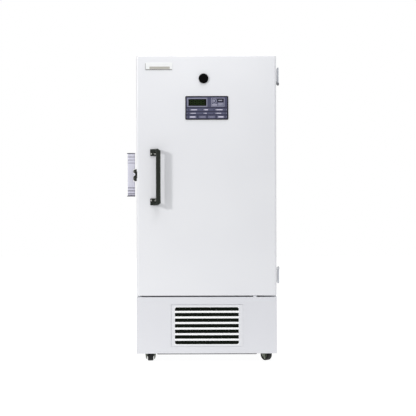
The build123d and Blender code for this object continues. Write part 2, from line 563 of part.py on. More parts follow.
scr = []
for sx_, sz_ in SCREWS:
    yb = -480.0 if sx_ > -345 else -479.3
    s = cy(sx_, sz_, yb - 3.2, yb - 0.02, 5.2)
    s = fillet(s.edges().filter_by(GeomType.CIRCLE).group_by(Axis.Y)[0], 2.2)
    s += cy(sx_, sz_, yb - 0.5, -470.1, 3.0)
    s -= bx(sx_ - 3, sx_ + 3, yb - 4, yb - 1.8, sz_ - 0.6, sz_ + 0.6) + bx(
        sx_ - 0.6, sx_ + 0.6, yb - 4, yb - 1.8, sz_ - 3, sz_ + 3
    )
    scr.append(s)
save("handle_screws", *scr)

# blank nameplate
npl = xz(rr(-393.8, -219.0, 1889.4, 1938.0, 3.0), Y_FRONT - 2.5, Y_FRONT)
npl = chamfer(npl.faces().sort_by(Axis.Y)[0].edges(), 0.7)
save("nameplate_blank", npl)

# control panel bezel with the electronics tray behind it
bez = xz(rr(CP_X0, CP_X1, CP_Z0, CP_Z1, 7.0), Y_FRONT - 5, Y_FRONT)
bez = chamfer(bez.faces().sort_by(Axis.Y)[0].edges(), 1.2)
bez += bx(PKT[0], PKT[1], Y_FRONT - 0.5, -436, PKT[2], PKT[3])
bez -= bx(PKT[0] + 2.5, PKT[1] - 2.5, Y_FRONT, -438.5, PKT[2] + 2.5, PKT[3] - 2.5)
bez -= xz(rr(CP_X0 + 7, CP_X1 - 7, CP_Z0 + 7, CP_Z1 - 7, 3.0), Y_FRONT - 6, Y_FRONT - 4)
bez -= bx(WIN[0], WIN[1], Y_FRONT - 6, Y_FRONT - 2.5, WIN[2], WIN[3])
bez -= bx(WIN[0] + 5, WIN[1] - 5, Y_FRONT - 6, Y_FRONT + 1, WIN[2] + 5, WIN[3] - 5)
for kx_ in KEYS.values():
    bez -= xz(rr(kx_ - KEY_W / 2 - 0.4, kx_ + KEY_W / 2 + 0.4, KEY_Z - KEY_H / 2 - 0.4, KEY_Z + KEY_H / 2 + 0.4, 3.2), Y_FRONT - 6, Y_FRONT + 2)
save("control_bezel", bez)

save("display_window", bx(WIN[0] + 0.2, WIN[1] - 0.2, Y_FRONT - 4.2, Y_FRONT - 2.52, WIN[2] + 0.2, WIN[3] - 0.2))
board = bx(PKT[0] + 6, PKT[1] - 6, -456, -454.4, PKT[2] + 6, PKT[3] - 6)
board += bx(WIN[0] + 7, WIN[1] - 7, -468, -455, WIN[2] + 7, WIN[3] - 7)
for kx_ in KEYS.values():
    board += bx(kx_ - 3, kx_ + 3, -467.5, -455, KEY_Z - 3, KEY_Z + 3)
for sx_ in (-100, 106):
    for sz_ in (1600, 1640):
        board += cy(sx_, sz_, -454.5, -438.6, 3.0)
save("display_board", board)

for name, kx_ in KEYS.items():
    k = xz(rr(kx_ - KEY_W / 2, kx_ + KEY_W / 2, KEY_Z - KEY_H / 2, KEY_Z + KEY_H / 2, 2.8), Y_FRONT - 4.9, Y_FRONT - 1.0)
    k = chamfer(k.faces().sort_by(Axis.Y)[0].edges(), 0.35)
    save(name, k)

# vent valve: flange cup in the door, push cap, spring
vb = cy(VV_X, VV_Z, Y_FRONT - 2, Y_FRONT, 31.5)
vb += cy(VV_X, VV_Z, Y_FRONT - 8, Y_FRONT - 1.9, 31.5) - cy(VV_X, VV_Z, Y_FRONT - 9, Y_FRONT, 29.2)
vb += cy(VV_X, VV_Z, Y_FRONT - 1, -445, 24.6)
vb -= cy(VV_X, VV_Z, Y_FRONT - 3, -447.5, 22.0)
vb += cy(VV_X, VV_Z, -446, -371.5, 11.0)
vb -= cy(VV_X, VV_Z, -450, -371, 8.0)
vb += cy(VV_X, VV_Z, -462, -459.5, 22.5) - (
    cy(VV_X, VV_Z, -463, -459, 7.0 + 0.06)
    + [cy(VV_X + 15 * math.cos(a), VV_Z + 15 * math.sin(a), -463, -459, 5.0) for a in [k * math.pi / 3 for k in range(6)]]
)
save("vent_valve_body", vb)

cap = cy(VV_X, VV_Z, -484, -476.5, 28.7)
cap = fillet(cap.edges().filter_by(GeomType.CIRCLE).group_by(Axis.Y)[0], 4.0)
cap += cy(VV_X, VV_Z, -477, -453, 7.0)
save("vent_valve_cap", cap)

hel = Helix(pitch=3.4, height=12.2, radius=11.5)
wire = sweep(Plane(origin=hel @ 0, z_dir=hel % 0) * Circle(0.6), path=hel)
spring = Pos(VV_X, -462.7, VV_Z) * Rot(90, 0, 0) * wire
save("vent_valve_spring", spring)

# latch clevis on the door's left side, with its pin and clamp screws
UPPER, LOWER = (1224.5, 1248.5), (1174.5, 1209.0)
clev = bx(-HX - 4, -HX, -452, -384, 1172.5, 1249.5)
clev = fillet(clev.edges().filter_by(Axis.X), 6.0)
for z0, z1 in (UPPER, LOWER):
    lug = bx(LATCH_X, -HX - 3, LATCH_Y - 12.4, LATCH_Y + 12.4, z0, z1) + cz(LATCH_X, LATCH_Y, z0, z1, 12.5)
    lug = lug & xz(rr(LATCH_X - 12.6, -HX - 1, z0, z1, 10.5) + Pos(-HX - 3, (z0 + z1) / 2) * Rectangle(6, z1 - z0 - 6), -420, -380)
    clev += lug
clev += bx(-HX - 9.5, -HX - 3, -450, -410, 1182, 1241)
clev -= cz(LATCH_X, LATCH_Y, 1160, 1260, 4.04)
lpin = cz(LATCH_X, LATCH_Y, 1172.5, 1250.5, 4.0)
lpin = chamfer(lpin.edges().filter_by(GeomType.CIRCLE), 0.8)
save("latch_clevis", clev, lpin)

# latch lever: ribbed paddle, hub between the lugs, claw that closes behind the keeper post
PZ0, PZ1 = 1077.4, 1352.0
px0, px1 = -516.0, -468.5
prof = rr(px0, px1, LATCH_Y - 4, LATCH_Y + 12, 4.0)
lever = xy(prof, PZ0, PZ1)
for zc in (1331.0, 1311.0, 1291.0, 1129.0, 1109.5, 1090.0):
    lever -= bx(px0 - 1, px1 + 1, LATCH_Y - 5, LATCH_Y - 1.5, zc - 3, zc + 3)
for z0, z1 in ((1351.9, 1357.0), (1072.4, 1077.5)):
    lever += xy(rr(px0 - 4, px1 + 0.5, LATCH_Y - 7, LATCH_Y + 12.5, 4.0), z0, z1)
lever -= bx(-480.5, px1 + 5, LATCH_Y - 20, LATCH_Y + 20, 1171.0, 1252.0)
HUBZ = (1210.2, 1223.3)
lever += cz(LATCH_X, LATCH_Y, *HUBZ, 8.0) + bx(-484, LATCH_X, LATCH_Y - 3.9, LATCH_Y + 7.5, *HUBZ)
sect = Circle(50.0) - Circle(43.0)
a0, a1 = math.radians(132.0), math.radians(170.0)
wed = poly((0, 0), (90 * math.cos(a0), 90 * math.sin(a0)), (90 * math.cos((a0 + a1) / 2), 90 * math.sin((a0 + a1) / 2)), (90 * math.cos(a1), 90 * math.sin(a1)))
lever += Pos(LATCH_X, LATCH_Y, 0) * xy(sect & wed, 1206.0, 1227.0)
lever -= cz(LATCH_X, LATCH_Y, 1200, 1230, 4.0 + RUN)
save("latch_lever", lever)

# ================================================================ INNER DOORS
IDX = CH_X - 3.0
for nm, z0, z1 in (("upper", 1202.5, CH_Z1 - 3.0), ("lower", CH_Z0 + 3.0, 1195.5)):
    d = bx(-IDX, IDX, -362, -330, z0, z1)
    d = fillet(d.edges().filter_by(Axis.Y), 10.0)
    d = chamfer(d.faces().sort_by(Axis.Y)[0].edges(), 1.5)
    d -= xz(rr(-IDX + 28, IDX - 28, z0 + 28, z1 - 28, 12.0), -363, -360.5)
    d -= xz(rr(-IDX + 40, IDX - 40, z0 + 40, z1 - 40, 16.0), -332, -329)
    zm = (z0 + z1) / 2
    lip = yz(poly((-361, zm - 34), (-361, zm + 34), (-368, zm + 30), (-368, zm - 30)), -IDX + 6, -IDX + 22)
    d += lip
    for zc in IZ[nm]:
        tab = bx(266, IH_X, IH_Y - 3.6, IH_Y + 3.6, zc - 3.6, zc + 6) + cz(IH_X, IH_Y, zc - 3.6, zc + 6, 3.6)
        tab += bx(266, 286, IH_Y, -360.5, zc - 3.6, zc + 6)
        tab -= cz(IH_X, IH_Y, zc - 10, zc + 10, 1.8 + 0.06)
        d += tab
    save(f"inner_door_{nm}", d)
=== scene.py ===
import math
import random

import bmesh
import bpy
from mathutils import Matrix, Vector


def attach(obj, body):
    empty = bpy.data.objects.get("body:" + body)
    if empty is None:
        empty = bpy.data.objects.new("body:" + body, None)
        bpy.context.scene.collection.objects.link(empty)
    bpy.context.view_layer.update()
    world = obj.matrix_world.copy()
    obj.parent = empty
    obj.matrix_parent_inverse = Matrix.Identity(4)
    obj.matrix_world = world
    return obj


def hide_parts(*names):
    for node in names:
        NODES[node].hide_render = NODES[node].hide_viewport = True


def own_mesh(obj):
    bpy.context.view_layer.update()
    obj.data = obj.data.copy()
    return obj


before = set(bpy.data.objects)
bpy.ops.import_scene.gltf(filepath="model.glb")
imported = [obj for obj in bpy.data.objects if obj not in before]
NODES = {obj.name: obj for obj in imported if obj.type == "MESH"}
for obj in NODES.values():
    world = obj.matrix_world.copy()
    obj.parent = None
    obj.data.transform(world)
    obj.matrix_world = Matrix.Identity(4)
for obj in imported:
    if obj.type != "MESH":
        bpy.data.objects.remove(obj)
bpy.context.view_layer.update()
MM = 0.001
random.seed(7)

# ----------------------------------------------------------------- materials


def srgb(r, g, b):
    def lin(c):
        c = c / 255.0
        return c / 12.92 if c <= 0.04045 else ((c + 0.055) / 1.055) ** 2.4

    return (lin(r), lin(g), lin(b), 1.0)


class Mat:
    """A node material on object coordinates, which are metres of the shared frame."""

    def __init__(self, name, base, rough=0.5, metal=0.0, coat=0.0, spec=0.5):
        m = bpy.data.materials.new(name)
        m.use_nodes = True
        self.m, self.nt = m, m.node_tree
        self.nt.nodes.clear()
        out = self.nt.nodes.new("ShaderNodeOutputMaterial")
        self.b = self.nt.nodes.new("ShaderNodeBsdfPrincipled")
        self.nt.links.new(self.b.outputs[0], out.inputs[0])
        self.b.inputs["Metallic"].default_value = metal
        self.b.inputs["Coat Weight"].default_value = coat
        self.b.inputs["Coat Roughness"].default_value = 0.12
        self.b.inputs["Specular IOR Level"].default_value = spec
        self.b.inputs["Roughness"].default_value = rough
        self.tc = self.nt.nodes.new("ShaderNodeTexCoord").outputs["Object"]
        rgb = self.nt.nodes.new("ShaderNodeRGB")
        rgb.outputs[0].default_value = base
        self.col = rgb.outputs[0]
        self.base = base
        self.rough = None
        self.r0 = rough
        self.normal = None

    def link(self, a, b):
        self.nt.links.new(a, b)

    def mapped(self, scale=(1, 1, 1), rot=(0, 0, 0)):
        n = self.nt.nodes.new("ShaderNodeMapping")
        n.inputs["Scale"].default_value = scale
        n.inputs["Rotation"].default_value = rot
        self.link(self.tc, n.inputs["Vector"])
        return n.outputs[0]

    def noise(self, scale, detail=2.0, rough=0.5, vec=None):
        n = self.nt.nodes.new("ShaderNodeTexNoise")
        n.inputs["Scale"].default_value = scale
        n.inputs["Detail"].default_value = detail
        n.inputs["Roughness"].default_value = rough
        self.link(vec if vec is not None else self.tc, n.inputs["Vector"])
        return n.outputs["Fac"]

    def ramp(self, fac, p0, p1, v0=0.0, v1=1.0):
        n = self.nt.nodes.new("ShaderNodeMapRange")
        n.inputs["From Min"].default_value = p0
        n.inputs["From Max"].default_value = p1
        n.inputs["To Min"].default_value = v0
        n.inputs["To Max"].default_value = v1
        self.link(fac, n.inputs["Value"])
        return n.outputs[0]

    def math(self, op, a, b=None, clamp=False):
        n = self.nt.nodes.new("ShaderNodeMath")
        n.operation = op
        n.use_clamp = clamp
        for i, v in enumerate((a, b)):
            if v is None:
                continue
            if isinstance(v, (int, float)):
                n.inputs[i].default_value = v
            else:
                self.link(v, n.inputs[i])
        return n.outputs[0]

    def tint(self, fac, colour, kind="MIX"):
        """Mix another colour over the present one by fac."""
        n = self.nt.nodes.new("ShaderNodeMix")
        n.data_type = "RGBA"
        n.blend_type = kind
        self.link(fac, n.inputs["Factor"])
        self.link(self.col, n.inputs["A"])
        n.inputs["B"].default_value = colour
        self.col = n.outputs["Result"]
        return self

    def vary(self, scale, colour, lo=0.35, hi=0.65, detail=3.0, top=1.0, vec=None):
        return self.tint(self.ramp(self.noise(scale, detail, vec=vec), lo, hi, 0.0, top), colour)

    def roughness(self, scale, spread, detail=2.0, vec=None):
        r = self.ramp(self.noise(scale, detail, vec=vec), 0.3, 0.7, self.r0 - spread, self.r0 + spread)
        self.rough = r if self.rough is None else self.math("ADD", self.rough, self.math("SUBTRACT", r, self.r0))
        return self

    def bump(self, height, dist, strength=1.0):
        n = self.nt.nodes.new("ShaderNodeBump")
        n.inputs["Strength"].default_value = strength
        n.inputs["Distance"].default_value = dist
        self.link(height, n.inputs["Height"])
        if self.normal is not None:
            self.link(self.normal, n.inputs["Normal"])
        self.normal = n.outputs[0]
        return self

    def edge(self, radius, colour, amount=0.6, scale=160.0, rough=None):
        """Wear along edges: where a rounded normal leaves the face normal."""
        bv = self.nt.nodes.new("ShaderNodeBevel")
        bv.samples = 4
        bv.inputs["Radius"].default_value = radius
        g = self.nt.nodes.new("ShaderNodeNewGeometry")
        d = self.nt.nodes.new("ShaderNodeVectorMath")
        d.operation = "DOT_PRODUCT"
        self.link(bv.outputs[0], d.inputs[0])
        self.link(g.outputs["Normal"], d.inputs[1])
        off = self.ramp(d.outputs["Value"], 0.985, 0.86)
        k = self.math("MULTIPLY", off, self.ramp(self.noise(scale, 4.0, 0.65), 0.42, 0.6))
        k = self.math("MULTIPLY", k, amount, clamp=True)
        self.tint(k, colour)
        if rough is not None:
            base = self.rough if self.rough is not None else self.r0
            self.rough = self.math("ADD", base, self.math("MULTIPLY", k, rough))
        return self

    def done(self):
        self.link(self.col, self.b.inputs["Base Color"])
        if self.rough is not None:
            self.link(self.math("ADD", self.rough, 0.0, clamp=True), self.b.inputs["Roughness"])
        if self.normal is not None:
            self.link(self.normal, self.b.inputs["Normal"])
        self.m.diffuse_color = self.base
        return self.m


def orange_peel(a, scale=1100.0, dist=0.00005):
    a.bump(a.noise(scale, 2.0), dist, 0.6)
    return a


def paint(name, base, shade, rough=0.42, peel=1100.0, coat=0.0, chip=None):
    a = Mat(name, base, rough, coat=coat)
    a.vary(1.3, shade, 0.35, 0.7, 2.0, 0.8)
    a.vary(900.0, shade, 0.45, 0.75, 2.0, 0.25)
    a.roughness(6.0, 0.05).roughness(420.0, 0.03)
    orange_peel(a, peel)
    a.edge(0.0012, chip or shade, 0.45, 220.0, 0.08)
    return a.done()


def moulded(name, base, shade, rough=0.45, grain=1600.0, depth=0.00006, spec=0.5, edge=None, amount=0.35):
    a = Mat(name, base, rough, spec=spec)
    a.vary(9.0, shade, 0.35, 0.7, 2.0, 0.7)
    a.vary(1400.0, shade, 0.5, 0.75, 2.0, 0.3)
    a.roughness(30.0, 0.06).roughness(900.0, 0.04)
    a.bump(a.noise(grain, 2.0), depth, 0.7)
    a.edge(0.0008, edge or shade, amount, 300.0, 0.1)
    return a.done()


def brushed(name, base, shade, along="z", rough=0.34, metal=1.0, scale=1.0, aniso=0.35):
    a = Mat(name, base, rough, metal=metal)
    s = {"x": (4, 900, 900), "y": (900, 4, 900), "z": (900, 900, 4)}[along]
    v = a.mapped(tuple(c * scale for c in s))
    a.vary(1.0, shade, 0.3, 0.7, 3.0, 0.5, vec=v)
    a.vary(5.0, shade, 0.4, 0.7, 2.0, 0.35)
    a.roughness(1.0, 0.08, vec=v).roughness(12.0, 0.05)
    a.bump(a.noise(1.0, 3.0, vec=v), 0.00003, 0.5)
    a.b.inputs["Anisotropic"].default_value = aniso
    a.edge(0.0006, tuple(min(1.0, c * 1.25) for c in base[:3]) + (1.0,), 0.5, 400.0)
    return a.done()


def zinc(name, base, light, dark, rough=0.4):
    a = Mat(name, base, rough, metal=0.85)
    v = a.nt.nodes.new("ShaderNodeTexVoronoi")
    v.inputs["Scale"].default_value = 130.0
    a.link(a.tc, v.inputs["Vector"])
    sep = a.nt.nodes.new("ShaderNodeSeparateColor")
    a.link(v.outputs["Color"], sep.inputs[0])
    a.tint(a.ramp(sep.outputs[0], 0.2, 0.9, 0.0, 0.55), light)
    a.vary(22.0, dark, 0.45, 0.75, 3.0, 0.4)
    a.rough = a.ramp(sep.outputs[1], 0.0, 1.0, rough - 0.1, rough + 0.12)
    a.bump(a.noise(700.0, 2.0), 0.00003, 0.5)
    a.edge(0.0008, light, 0.6, 260.0)
    return a.done()


WHITE = srgb(236, 237, 240)
WHITE_SHADE = srgb(230, 231, 235)
def painted_light_band(mat, x0, x1, colour, amount, axis="X"):
    """Painted light or shade colour that comes in between two positions along one axis, added before the last colour
    socket.
    """
    nt = mat.node_tree
    b = next(n for n in nt.nodes if n.type == "BSDF_PRINCIPLED")
    src = b.inputs["Base Color"].links[0].from_socket
    tc = next(n for n in nt.nodes if n.type == "TEX_COORD")
    sep = nt.nodes.new("ShaderNodeSeparateXYZ")
    nt.links.new(tc.outputs["Object"], sep.inputs[0])
    mr = nt.nodes.new("ShaderNodeMapRange")
    mr.interpolation_type = "SMOOTHSTEP"
    mr.inputs["From Min"].default_value = x0
    mr.inputs["From Max"].default_value = x1
    mr.inputs["To Min"].default_value = 0.0
    mr.inputs["To Max"].default_value = amount
    nt.links.new(sep.outputs[axis], mr.inputs["Value"])
    mx = nt.nodes.new("ShaderNodeMix")
    mx.data_type = "RGBA"
    ins = [i for i in mx.inputs if i.type == "RGBA"]
    nt.links.new(mr.outputs[0], mx.inputs[0])
    nt.links.new(src, ins[0])
    ins[1].default_value = colour
    out = [o for o in mx.outputs if o.type == "RGBA"][0]
    nt.links.new(out, b.inputs["Base Color"])
    return mat


M_BODY = paint("body_white_powder", WHITE, WHITE_SHADE, 0.40, chip=srgb(206, 207, 212))
M_SKIRT = paint("skirt_white_powder", srgb(226, 227, 231), srgb(221, 222, 227), 0.42, chip=srgb(202, 203, 208))
# Painted shade: the left edges of the body and the skirt are painted darker.
painted_light_band(M_BODY, -0.4480, -0.4520, srgb(196, 196, 202), 0.85)
painted_light_band(M_SKIRT, -0.4480, -0.4520, srgb(196, 196, 202), 0.8)
M_GRILLE = moulded("grille_white_moulding", srgb(228, 229, 233), srgb(224, 225, 229), 0.5, edge=srgb(210, 212, 216))
# Painted highlight: the slotted field of the grille is painted near white and the border left darker, standing in for
# the slats catching the light.
painted_light_band(M_GRILLE, -0.2085, -0.2065, srgb(253, 254, 255), 1.0)
painted_light_band(M_GRILLE, 0.2065, 0.2085, srgb(226, 227, 231), 1.0)
painted_light_band(M_GRILLE, 0.3560, 0.3585, srgb(226, 227, 231), 1.0, "Z")
painted_light_band(M_GRILLE, 0.1115, 0.1090, srgb(226, 227, 231), 1.0, "Z")
M_LINER = moulded("liner_white_moulding", srgb(232, 233, 235), srgb(222, 224, 227), 0.46, edge=srgb(206, 208, 212))


def hinge_mat():
    a = Mat("hinge_grey_paint", srgb(214, 217, 222), 0.38)
    a.vary(1.3, srgb(202, 205, 211), 0.35, 0.7, 2.0, 0.8)
    a.vary(900.0, srgb(202, 205, 211), 0.45, 0.75, 2.0, 0.25)
    sep = a.nt.nodes.new("ShaderNodeSeparateXYZ")
    a.link(a.tc, sep.inputs[0])
    tn = a.nt.nodes.new("ShaderNodeTexCoord")
    sn = a.nt.nodes.new("ShaderNodeSeparateXYZ")
    a.link(tn.outputs["Normal"], sn.inputs[0])
    # Painted light: the slanted inner face of the cabinet-side leaf, which lies in the door's shade, is painted near
    # white and given a faint glow.
    inner = a.math("MULTIPLY", a.math("LESS_THAN", sn.outputs["Y"], -0.5), a.math("LESS_THAN", sn.outputs["X"], -0.3))
    painted_glow_leaf = a.math("MULTIPLY", a.math("GREATER_THAN", sep.outputs["Y"], -0.3665), inner)
    a.tint(painted_glow_leaf, srgb(250, 251, 252))
    a.b.inputs["Emission Color"].default_value = (1, 1, 1, 1)
    a.link(a.math("MULTIPLY", painted_glow_leaf, 0.22), a.b.inputs["Emission Strength"])
    a.roughness(6.0, 0.05).roughness(420.0, 0.03)
    orange_peel(a, 1100.0)
    a.edge(0.0010, srgb(180, 182, 188), 0.25, 220.0, 0.08)
    return a.done()


M_HINGE = hinge_mat()
M_BRACKET = paint("bracket_white_powder", srgb(224, 226, 230), srgb(212, 214, 219), 0.42, chip=srgb(170, 172, 176))


def foam_mat():
    a = Mat("rigid_foam", srgb(226, 205, 150), 0.85, spec=0.2)
    a.vary(16.0, srgb(212, 184, 122), 0.35, 0.7, 4.0, 0.8)
    v = a.nt.nodes.new("ShaderNodeTexVoronoi")
    v.inputs["Scale"].default_value = 1400.0
    a.link(a.tc, v.inputs["Vector"])
    a.tint(a.ramp(v.outputs["Distance"], 0.0, 0.6, 0.35, 0.0), srgb(184, 150, 92))
    a.bump(v.outputs["Distance"], 0.0002, 0.6)
    a.roughness(300.0, 0.06)
    return a.done()


M_FOAM = foam_mat()
M_STEEL = brushed("tank_stainless", srgb(196, 198, 200), srgb(170, 172, 175), "x", 0.33)
M_SHELF = brushed("shelf_stainless", srgb(205, 206, 208), srgb(180, 182, 184), "x", 0.3)
M_RAIL = brushed("rail_stainless", srgb(190, 192, 194), srgb(160, 162, 165), "z", 0.34)
M_ZINC = zinc("zinc_plate", srgb(158, 162, 165), srgb(190, 194, 197), srgb(128, 132, 136))
M_FORK = paint("caster_grey_zinc", srgb(140, 146, 132), srgb(118, 124, 112), 0.5, chip=srgb(146, 152, 138))
M_CASTPLATE = zinc("caster_plate_zinc", srgb(120, 124, 124), srgb(156, 160, 158), srgb(84, 88, 88), 0.42)


def black_paint(name, base, light, rough=0.38, peel=900.0, spec=0.5):
    a = Mat(name, base, rough, spec=spec)
    a.vary(14.0, light, 0.4, 0.75, 3.0, 0.5)
    a.vary(1200.0, light, 0.5, 0.75, 2.0, 0.35)
    a.roughness(20.0, 0.07).roughness(700.0, 0.05)
    orange_peel(a, peel, 0.00008)
    a.edge(0.0009, tuple(min(1.0, c * 3.0 + 0.03) for c in base[:3]) + (1.0,), 0.55, 240.0, -0.08)
    return a.done()


M_HANDLE = black_paint("handle_black_cast", srgb(30, 35, 29), srgb(42, 47, 40), 0.42, spec=0.28)
M_CLEVIS = black_paint("clevis_black_cast", srgb(26, 29, 25), srgb(42, 45, 40), 0.45, spec=0.28)
M_DARKSTEEL = black_paint("dark_steel_paint", srgb(58, 59, 60), srgb(74, 75, 76), 0.5, spec=0.2)


def lug_mat():
    a = Mat("hinge_lug_dark", srgb(126, 128, 132), 0.4)
    a.vary(1.3, srgb(106, 108, 112), 0.35, 0.7, 2.0, 0.8)
    a.vary(900.0, srgb(106, 108, 112), 0.45, 0.75, 2.0, 0.25)
    sep = a.nt.nodes.new("ShaderNodeSeparateXYZ")
    a.link(a.tc, sep.inputs[0])
    a.tint(a.math("LESS_THAN", sep.outputs["Z"], 1.2), srgb(206, 208, 212))
    a.roughness(6.0, 0.05).roughness(420.0, 0.03)
    orange_peel(a, 1100.0)
    a.edge(0.0012, srgb(84, 86, 90), 0.3, 220.0, 0.08)
    return a.done()


M_LUG = lug_mat()
M_MOTOR = black_paint("motor_black", srgb(28, 28, 30), srgb(44, 44, 46), 0.42)
M_FAN = moulded("fan_black", srgb(26, 27, 28), srgb(40, 41, 42), 0.42, edge=srgb(70, 70, 72))
M_COMP = black_paint("compressor_black", srgb(22, 22, 24), srgb(38, 38, 41), 0.3)


def copper_mat():
    a = Mat("copper_tube", srgb(184, 112, 78), 0.3, metal=1.0)
    a.vary(26.0, srgb(132, 74, 50), 0.4, 0.7, 4.0, 0.75)
    a.vary(240.0, srgb(203, 136, 98), 0.5, 0.7, 3.0, 0.4)
    a.roughness(50.0, 0.1)
    a.bump(a.noise(500.0, 2.0), 0.00004, 0.5)
    a.edge(0.0008, srgb(110, 66, 46), 0.4, 200.0)
    return a.done()


M_COPPER = copper_mat()
M_FIN = brushed("condenser_aluminium", srgb(176, 178, 180), srgb(140, 142, 145), "z", 0.42, aniso=0.2)
M_PLATE = brushed("nameplate_aluminium", srgb(250, 251, 251), srgb(242, 244, 244), "x", 0.36, metal=0.15, aniso=0.3)


def lever_mat():
    a = Mat("lever_aluminium", srgb(228, 228, 240), 0.42, metal=0.1)
    v = a.mapped((900, 900, 4))
    a.vary(1.0, srgb(214, 214, 228), 0.3, 0.7, 3.0, 0.5, vec=v)
    a.vary(14.0, srgb(220, 219, 234), 0.4, 0.7, 3.0, 0.5)
    sep = a.nt.nodes.new("ShaderNodeSeparateXYZ")
    a.link(a.tc, sep.inputs[0])
    z, y = sep.outputs["Z"], sep.outputs["Y"]
    low = a.ramp(z, 1.16, 1.08, 0.0, 0.5)
    a.tint(low, srgb(196, 194, 210))
    # Painted shade: dark lines at the groove heights, on the faces set back from the lever's front, stand for the shade
    # in the grooves.
    inside = a.ramp(y, -0.4012, -0.4006)
    for zc, tone in ((1.331, 0.6), (1.311, 0.45), (1.291, 0.4), (1.129, 0.75), (1.1095, 0.8), (1.090, 0.85)):
        n = a.nt.nodes.new("ShaderNodeMath")
        n.operation = "COMPARE"
        a.link(z, n.inputs[0])
        n.inputs[1].default_value = zc
        n.inputs[2].default_value = 0.0032
        a.tint(a.math("MULTIPLY", a.math("MULTIPLY", n.outputs[0], inside), tone), srgb(118, 115, 130))
    caps = a.math("ADD", a.math("GREATER_THAN", z, 1.35185), a.math("LESS_THAN", z, 1.0805), clamp=True)
    a.tint(caps, srgb(84, 83, 94))
    a.roughness(1.0, 0.06, vec=v).roughness(30.0, 0.05)
    a.bump(a.noise(1.0, 3.0, vec=v), 0.00003, 0.5)
    a.edge(0.0007, srgb(222, 222, 232), 0.35, 400.0)
    return a.done()


M_LEVER = lever_mat()
M_LEVER_CAP = moulded("lever_cap_grey", srgb(120, 119, 130), srgb(98, 97, 108), 0.5, edge=srgb(86, 85, 96))
M_SCREW = brushed("screw_bright", srgb(222, 222, 216), srgb(196, 196, 190), "x", 0.26, aniso=0.0)


def rubber(name, base, light, rough=0.72):
    a = Mat(name, base, rough, spec=0.35)
    a.vary(40.0, light, 0.4, 0.75, 4.0, 0.6)
    a.vary(900.0, light, 0.5, 0.7, 3.0, 0.4)
    a.roughness(60.0, 0.08)
    a.bump(a.noise(800.0, 4.0, 0.6), 0.00012, 0.7)
    a.edge(0.0016, tuple(min(1.0, c * 1.8 + 0.01) for c in base[:3]) + (1.0,), 0.5, 300.0)
    return a.done()


M_GASKET = rubber("gasket_grey_rubber", srgb(186, 188, 190), srgb(170, 172, 176), 0.6)
M_RUBBER = rubber("grommet_black_rubber", srgb(26, 26, 26), srgb(44, 44, 44))
M_HUBCAP = moulded("wheel_core_grey", srgb(88, 93, 82), srgb(72, 76, 66), 0.5, spec=0.2, edge=srgb(116, 120, 108))
M_TREAD = rubber("tread_black", srgb(6, 7, 5), srgb(14, 16, 12), 0.6)
M_BLACK = moulded("black_moulding", srgb(14, 13, 13), srgb(26, 25, 25), 0.42, edge=srgb(52, 52, 52))
M_VENT = moulded("vent_black", srgb(5, 4, 4), srgb(9, 8, 8), 0.62, spec=0.05, edge=srgb(20, 20, 20), amount=0.3)
M_JACKET = rubber("closed_cell_jacket", srgb(34, 34, 35), srgb(52, 52, 53), 0.85)
M_BEZEL = moulded("bezel_dark", srgb(24, 24, 30), srgb(34, 34, 40), 0.42, spec=0.25, edge=srgb(56, 56, 64))
M_SLATE = moulded("membrane_slate", srgb(78, 79, 103), srgb(70, 71, 95), 0.45, 2400.0, 0.00003, spec=0.3)
M_SLATE_DARK = moulded("membrane_dark", srgb(32, 32, 44), srgb(26, 26, 36), 0.45, 2400.0, 0.00003, spec=0.3)
M_LAVENDER = moulded("membrane_lavender", srgb(132, 133, 152), srgb(122, 123, 143), 0.42, 2400.0, 0.00003)
M_LEGEND = moulded("membrane_legend", srgb(224, 221, 238), srgb(210, 207, 228), 0.42, 2400.0, 0.00002)
M_LEGEND_DIM = moulded("membrane_legend_dim", srgb(112, 113, 138), srgb(102, 103, 128), 0.42, 2400.0, 0.00002)
M_PICTO = moulded("membrane_pale", srgb(162, 162, 180), srgb(150, 150, 170), 0.42, 2400.0, 0.00002)
M_KEY = moulded("key_slate", srgb(106, 106, 132), srgb(96, 96, 122), 0.42, 2000.0, 0.00003, edge=srgb(120, 120, 146))


def window_mat():
    a = Mat("window_smoked", srgb(8, 13, 4), 0.16, spec=0.16)
    a.vary(60.0, srgb(14, 22, 8), 0.4, 0.7, 2.0, 0.8)
    a.roughness(40.0, 0.04)
    a.bump(a.noise(300.0, 1.0), 0.00001, 0.3)
    return a.done()


M_WINDOW = window_mat()


def ghost_mat():
    a = Mat("digit_ghost_green", srgb(34, 52, 20), 0.4, spec=0.1)
    a.vary(300.0, srgb(44, 62, 26), 0.4, 0.7, 2.0, 0.8)
    a.roughness(200.0, 0.05)
    a.bump(a.noise(900.0, 1.0), 0.00001, 0.4)
    return a.done()


M_GHOST = ghost_mat()
M_LED_OFF = moulded("lamp_lens", srgb(176, 176, 190), srgb(150, 150, 168), 0.25, 600.0, 0.00002)
M_BOARD = moulded("board_green", srgb(26, 92, 52), srgb(20, 74, 42), 0.4, 500.0, 0.0001)
M_SPRING = brushed("spring_steel", srgb(190, 190, 188), srgb(150, 150, 150), "y", 0.3)
M_PORT = moulded("port_white", srgb(220, 220, 218), srgb(205, 205, 202), 0.6, edge=srgb(180, 180, 178))


def filter_mat():
    a = Mat("filter_black_foam", srgb(12, 20, 11), 0.9, spec=0.15)
    a.vary(45.0, srgb(20, 28, 18), 0.4, 0.7, 4.0, 0.8)
    v = a.nt.nodes.new("ShaderNodeTexVoronoi")
    v.inputs["Scale"].default_value = 620.0
    a.link(a.tc, v.inputs["Vector"])
    a.tint(a.ramp(v.outputs["Distance"], 0.0, 0.5, 0.6, 0.0), srgb(5, 9, 5))
    a.bump(v.outputs["Distance"], 0.0006, 0.8)
    a.roughness(80.0, 0.05)
    return a.done()


M_FILTER = filter_mat()

